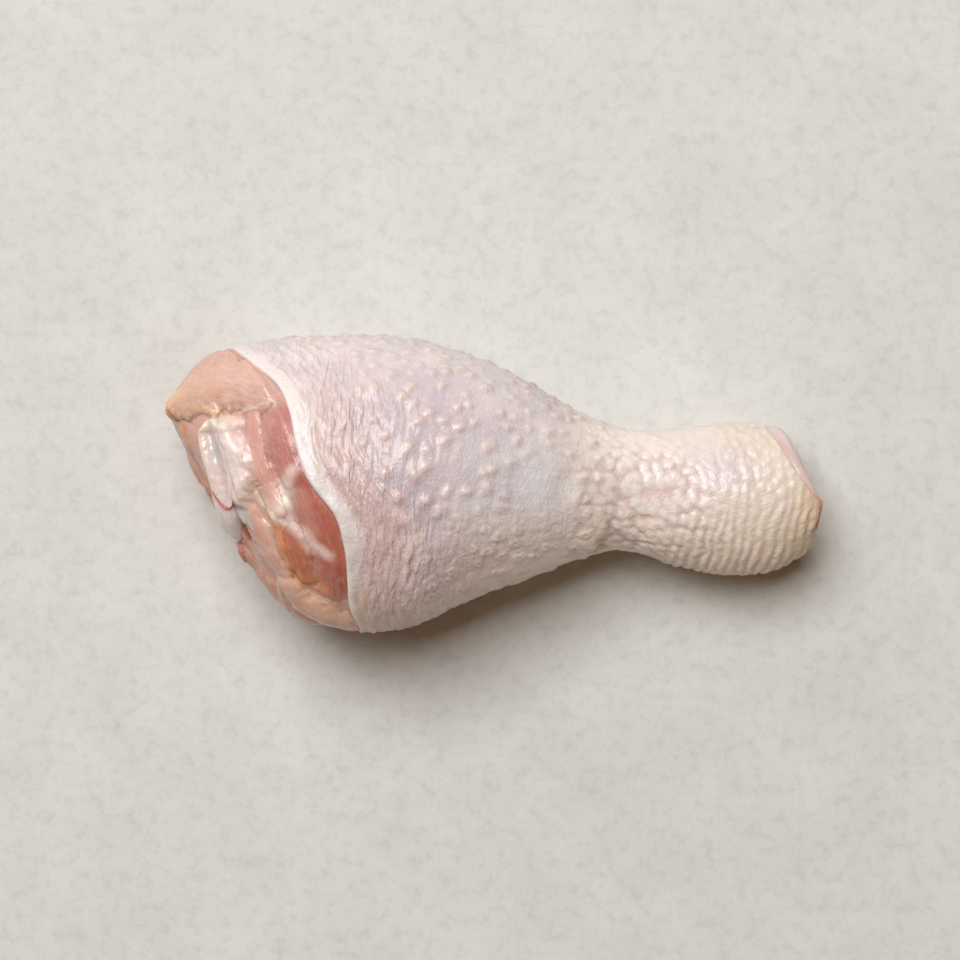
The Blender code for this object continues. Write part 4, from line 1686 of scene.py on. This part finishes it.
TIBIA_PLATE = Carried(
    name="tibia_plate",
    path=(
        (-55.6, 12.6), (-54.6, 9.6), (-53.2, 5.1), (-52.3, 0.9), (-51.7, -3.3), (-51.2, -8.0),
        (-50.9, -11.2),
    ),
    wide=((0.0, 2.4), (0.12, 3.2), (0.3, 3.6), (0.5, 3.4), (0.7, 3.1), (0.9, 2.6), (1.0, 1.6)),
    high=((0.0, 1.0), (0.2, 1.4), (0.5, 1.4), (0.8, 2.2), (1.0, 1.3)),
    rim=((0.0, 0.2), (0.15, 0.8), (0.4, 1.0), (0.6, 0.8), (0.74, 0.3), (0.82, 0.0), (1.0, 0.0)),
    low=3.0,
    hollow=((0.0, 0.2), (0.15, 1.3), (0.4, 1.5), (0.55, 0.9), (0.68, 0.3), (0.8, 0.0), (1.0, 0.0)),
    square=2.6,
    lean=0.9,
    tone=Tone.LILAC_CARTILAGE,
    patches=(
        (0.0, 0.0, 0.12, 2.0, Tone.CARTILAGE, 1.0),
        # Blue-grey in the plate's hollow: painted shade.
        (0.28, -0.15, 0.15, 0.36, Tone.BLUE_CARTILAGE_AND_SHADE, 0.9),
        (0.25, -0.95, 0.25, 0.3, Tone.CARTILAGE, 0.7),
        (0.35, 0.75, 0.35, 0.35, Tone.WHITE_FAT, 0.9),
        (0.52, 0.3, 0.08, 0.8, Tone.PINK_SKIN, 0.3),
        (0.72, 0.8, 0.20, 0.5, Tone.PEACH_SKIN, 0.3),
        # White low end of the plate: partly its pinkish-white colour, partly painted light where it faces
        # away from the light.
        (0.82, -0.1, 0.28, 2.0, Tone.WHITE_SKIN, 1.0),
        (1.0, 0.0, 0.05, 2.0, Tone.CARTILAGE, 0.8),
    ),
)
VESSEL = Carried(
    name="knee_vessel",
    path=(
        (-54.9, -1.3), (-54.2, -2.5), (-53.2, -3.7), (-52.3, -4.5), (-51.4, -4.6), (-50.7, -3.9),
        (-50.5, -2.9),
    ),
    wide=((0.0, 0.10), (0.5, 0.16), (1.0, 0.10)),
    high=((0.0, 0.2), (0.5, 0.3), (1.0, 0.2)),
    low=0.5,
    hollow=((0.0, 0.0), (1.0, 0.0)),
    square=2.0,
    lean=0.9,
    tone=Tone.BLOOD,
    patches=((0.3, 0.0, 0.2, 2.0, Tone.MAGENTA_MEAT, 0.6),),
    lumps=0.0,
    lift=((0.0, -0.1), (0.35, 0.05), (0.7, 0.05), (1.0, -0.1)),
    rows=80,
    columns=16,
)


@dataclass(frozen=True)
class HockEnd:
    """Cut end of the leg at the hock: pale joint cartilage, rust-brown tissue at its back."""

    leg: Leg
    rows: int = 90
    tuck_rows: int = 12
    columns: int = 180
    under: float = -0.45
    tuck: float = 4.0
    reach: float = 2.4
    lean: float = 2.1
    square: float = 5.5

    def build(self, material: bpy.types.Material) -> bpy.types.Object:
        """Builds the end: tucked inside the skin, then a squared dome that stands out most at the front.

        Args:
            material: its finish.

        Returns:
            The linked object.
        """
        angle = np.linspace(-0.5 * np.pi, 1.5 * np.pi, self.columns, endpoint=False)[None]
        edge = self.leg.hock_edge(angle)
        inward = np.linspace(self.tuck, 0.0, self.tuck_rows)[:, None]
        wide = np.broadcast_to(angle, (self.tuck_rows, self.columns))
        tucked = self.leg.layer(edge - inward, wide, np.full(wide.shape, self.under))
        rim = tucked[-1:]
        centre = rim.mean(axis=1, keepdims=True)
        q = np.linspace(0.0, np.pi / 2, self.rows)[:, None, None] * 0.995
        inset, out = np.cos(q) ** (2 / self.square), np.sin(q) ** (2 / self.square)
        across, up = (a[..., None] for a in self.leg.oval(angle))
        length = self.reach + self.lean * across * inset
        dome = centre + (rim - centre) * inset
        none = np.zeros_like(length * out)
        dome = dome + np.concatenate([length * out, none, none], axis=-1)
        points = np.concatenate([tucked[:-1], dome])
        y, z, x = points[..., 1], points[..., 2], points[..., 0]
        condyles = 0.9 * bell(y - 6.0, 4.5) * bell(z - 12.0, 6.5)
        condyles = condyles + 0.7 * bell(y + 4.5, 4.0) * bell(z - 12.5, 6.5)
        smooth = fade(0.3, 2.0, np.sin(q[..., 0]) * self.reach)
        rough = np.ones(x.shape)
        rough[self.tuck_rows - 1 :] = smooth
        relief = condyles + rough * (0.25 * noise(points / 3.0, 121) + 0.12 * noise(points / 1.1, 122))
        points[self.tuck_rows :, :, 0] += relief[self.tuck_rows :]
        tone = tinted(x.shape, Tone.LILAC_CARTILAGE)
        tone = mixed(tone, Tone.WHITE_SKIN, 0.7 * fade(4, 10, y + 2 * noise(points / 4, 123))) * 0.92
        tone = mixed(tone, Tone.PINK_SKIN, 0.9 * bell(y - 8.0, 2.2) * bell(x - edge - 0.8, 1.2))
        tone = mixed(tone, Tone.PEACH_SKIN, 0.7 * bell(x - edge - 0.2, 0.9))
        back = fade(-1.0, -4.0, y + 1.2 * noise(points / 2.5, 124))
        tone = mixed(tone, Tone.ORANGE_FAT, 0.75 * back)
        rusty = fade(0.2, 0.6, noise(points / 2.2, 125) + bell(y + 6.0, 2.5))
        tone = mixed(tone, Tone.RUST, 0.8 * back * rusty)
        tone = mixed(tone, Tone.BLOOD, 0.6 * bell(y + 6.2, 1.0) * bell(z - 20.0, 7.0))
        grain = points * 1.0
        flat = np.ones(x.shape)
        return closed_piece("hock_end", self.leg, Sheet(points, tone, grain, 0.6 * flat, flat), material)


# ---------------------------------------------------------------- studio


@dataclass(frozen=True)
class Softbox:
    """A square area light that faces the leg. Lengths are in metres, power in watts."""

    name: str
    place: tuple[float, float, float]
    width: float
    power: float
    tone: tuple[float, float, float]

    def build(self) -> None:
        """Adds the light, turned to the middle of the floor."""
        lamp = bpy.data.lights.new(self.name, "AREA")
        lamp.shape = "SQUARE"
        lamp.size = self.width
        lamp.energy = self.power
        lamp.color = self.tone
        light = bpy.data.objects.new(self.name, lamp)
        bpy.context.scene.collection.objects.link(light)
        light.location = self.place
        light.rotation_euler = (-light.location).to_track_quat("-Z", "Y").to_euler()


@dataclass(frozen=True)
class Studio:
    """Pale floor, a soft light high at the front left, a weaker low one, camera overhead.

    Lengths are in metres. The camera looks straight down, the front of the leg at the top of the frame.
    """

    floor_width: float = 3.0
    floor_tone: tuple[float, float, float] = (0.68, 0.665, 0.625)
    lights: tuple[Softbox, ...] = (
        Softbox("key_light", (-0.42, 0.82, 1.88), 1.26, 47.0, (0.96, 0.985, 1.0)),
        Softbox("low_light", (-0.95, 1.4, 0.75), 0.96, 4.6, (0.96, 0.985, 1.0)),
    )
    sky_tone: tuple[float, float, float] = (1.0, 0.60, 0.30)
    sky_strength: float = 0.11
    aim: tuple[float, float] = (-0.0033, 0.00125)
    camera_height: float = 0.548
    lens: float = 100.0

    def floor(self) -> None:
        """Adds the floor, mottled like fine plaster."""
        half = self.floor_width / 2
        mesh = bpy.data.meshes.new("floor")
        corners = [(-half, -half, 0.0), (half, -half, 0.0), (half, half, 0.0), (-half, half, 0.0)]
        mesh.from_pydata(corners, [], [(0, 1, 2, 3)])
        floor = bpy.data.objects.new("floor", mesh)
        bpy.context.scene.collection.objects.link(floor)
        mesh.materials.append(self.plaster())

    def plaster(self) -> bpy.types.Material:
        """The floor's material: pale, rough, with faint clouds and specks.

        Returns:
            The material.
        """
        made, g, shader = new_material("Plaster")
        place = g.add("TexCoord").outputs["Object"]
        clouds = g.add("TexNoise", Scale=60.0, Detail=8.0, Roughness=0.7, Vector=place).outputs["Fac"]
        specks = g.add("TexNoise", Scale=330.0, Detail=5.0, Roughness=0.75, Vector=place).outputs["Fac"]
        darker, lighter = ((*(share * c for c in self.floor_tone), 1.0) for share in (0.86, 1.14))
        ramp = g.add("Mix", data_type="RGBA", Factor=clouds, A=darker, B=lighter)
        dark = g.add("MapRange", From_Min=0.30, From_Max=0.52, To_Min=0.86, To_Max=1.0, Value=specks)
        scaled = dark.outputs["Result"]
        shade = g.add("VectorMath", operation="SCALE", Vector=ramp.outputs["Result"], Scale=scaled)
        bump = g.add("Bump", Strength=0.15, Distance=0.0004, Height=specks)
        g.fill(shader, Base_Color=shade.outputs[0], Roughness=0.7, Normal=bump.outputs["Normal"])
        return made

    def sky(self) -> None:
        """Sets the weak light all round."""
        world = bpy.context.scene.world or bpy.data.worlds.new("sky")
        bpy.context.scene.world = world
        world.use_nodes = True
        background = world.node_tree.nodes["Background"]
        background.inputs["Color"].default_value = (*self.sky_tone, 1.0)
        background.inputs["Strength"].default_value = self.sky_strength

    def camera(self) -> None:
        """Adds the camera, straight above the leg."""
        data = bpy.data.cameras.new("camera")
        data.lens = self.lens
        camera = bpy.data.objects.new("camera", data)
        bpy.context.scene.collection.objects.link(camera)
        camera.location = (*self.aim, self.camera_height)
        bpy.context.scene.camera = camera

    def build(self) -> None:
        """Adds everything round the leg."""
        self.floor()
        for light in self.lights:
            light.build()
        self.sky()
        self.camera()
        bpy.context.scene.view_settings.view_transform = "Standard"


# ---------------------------------------------------------------- all of it


def settle(piece: bpy.types.Object, node: str) -> None:
    """Fixes a piece to the body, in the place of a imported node, and reports it.

    Args:
        piece: the finished piece.
        node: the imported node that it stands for.
    """
    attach(piece, "root")
    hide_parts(node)
    LOG.info("%s: %d faces, stands for %s", piece.name, len(piece.data.polygons), node)


def main() -> None:
    """Builds the leg's pieces in order, then the studio."""
    logging.basicConfig(level=logging.INFO, format="%(name)s: %(message)s")
    leg = fitted_leg()
    LOG.info("leg shifted by %.3f and %.3f mm", *leg.shift)
    finishes = Finishes()
    settle(Skin(leg).build(finishes.skin), "skin")
    knee = Knee(leg, KNEE_STROKES)
    settle(knee.build(finishes.meat), "meat")
    settle(TIBIA_PLATE.build(knee, finishes.bone), "bone")
    settle(VESSEL.build(knee, finishes.meat), "meat")
    settle(HockEnd(leg).build(finishes.bone), "bone")
    Studio().build()


if __name__ == "__main__":
    main()
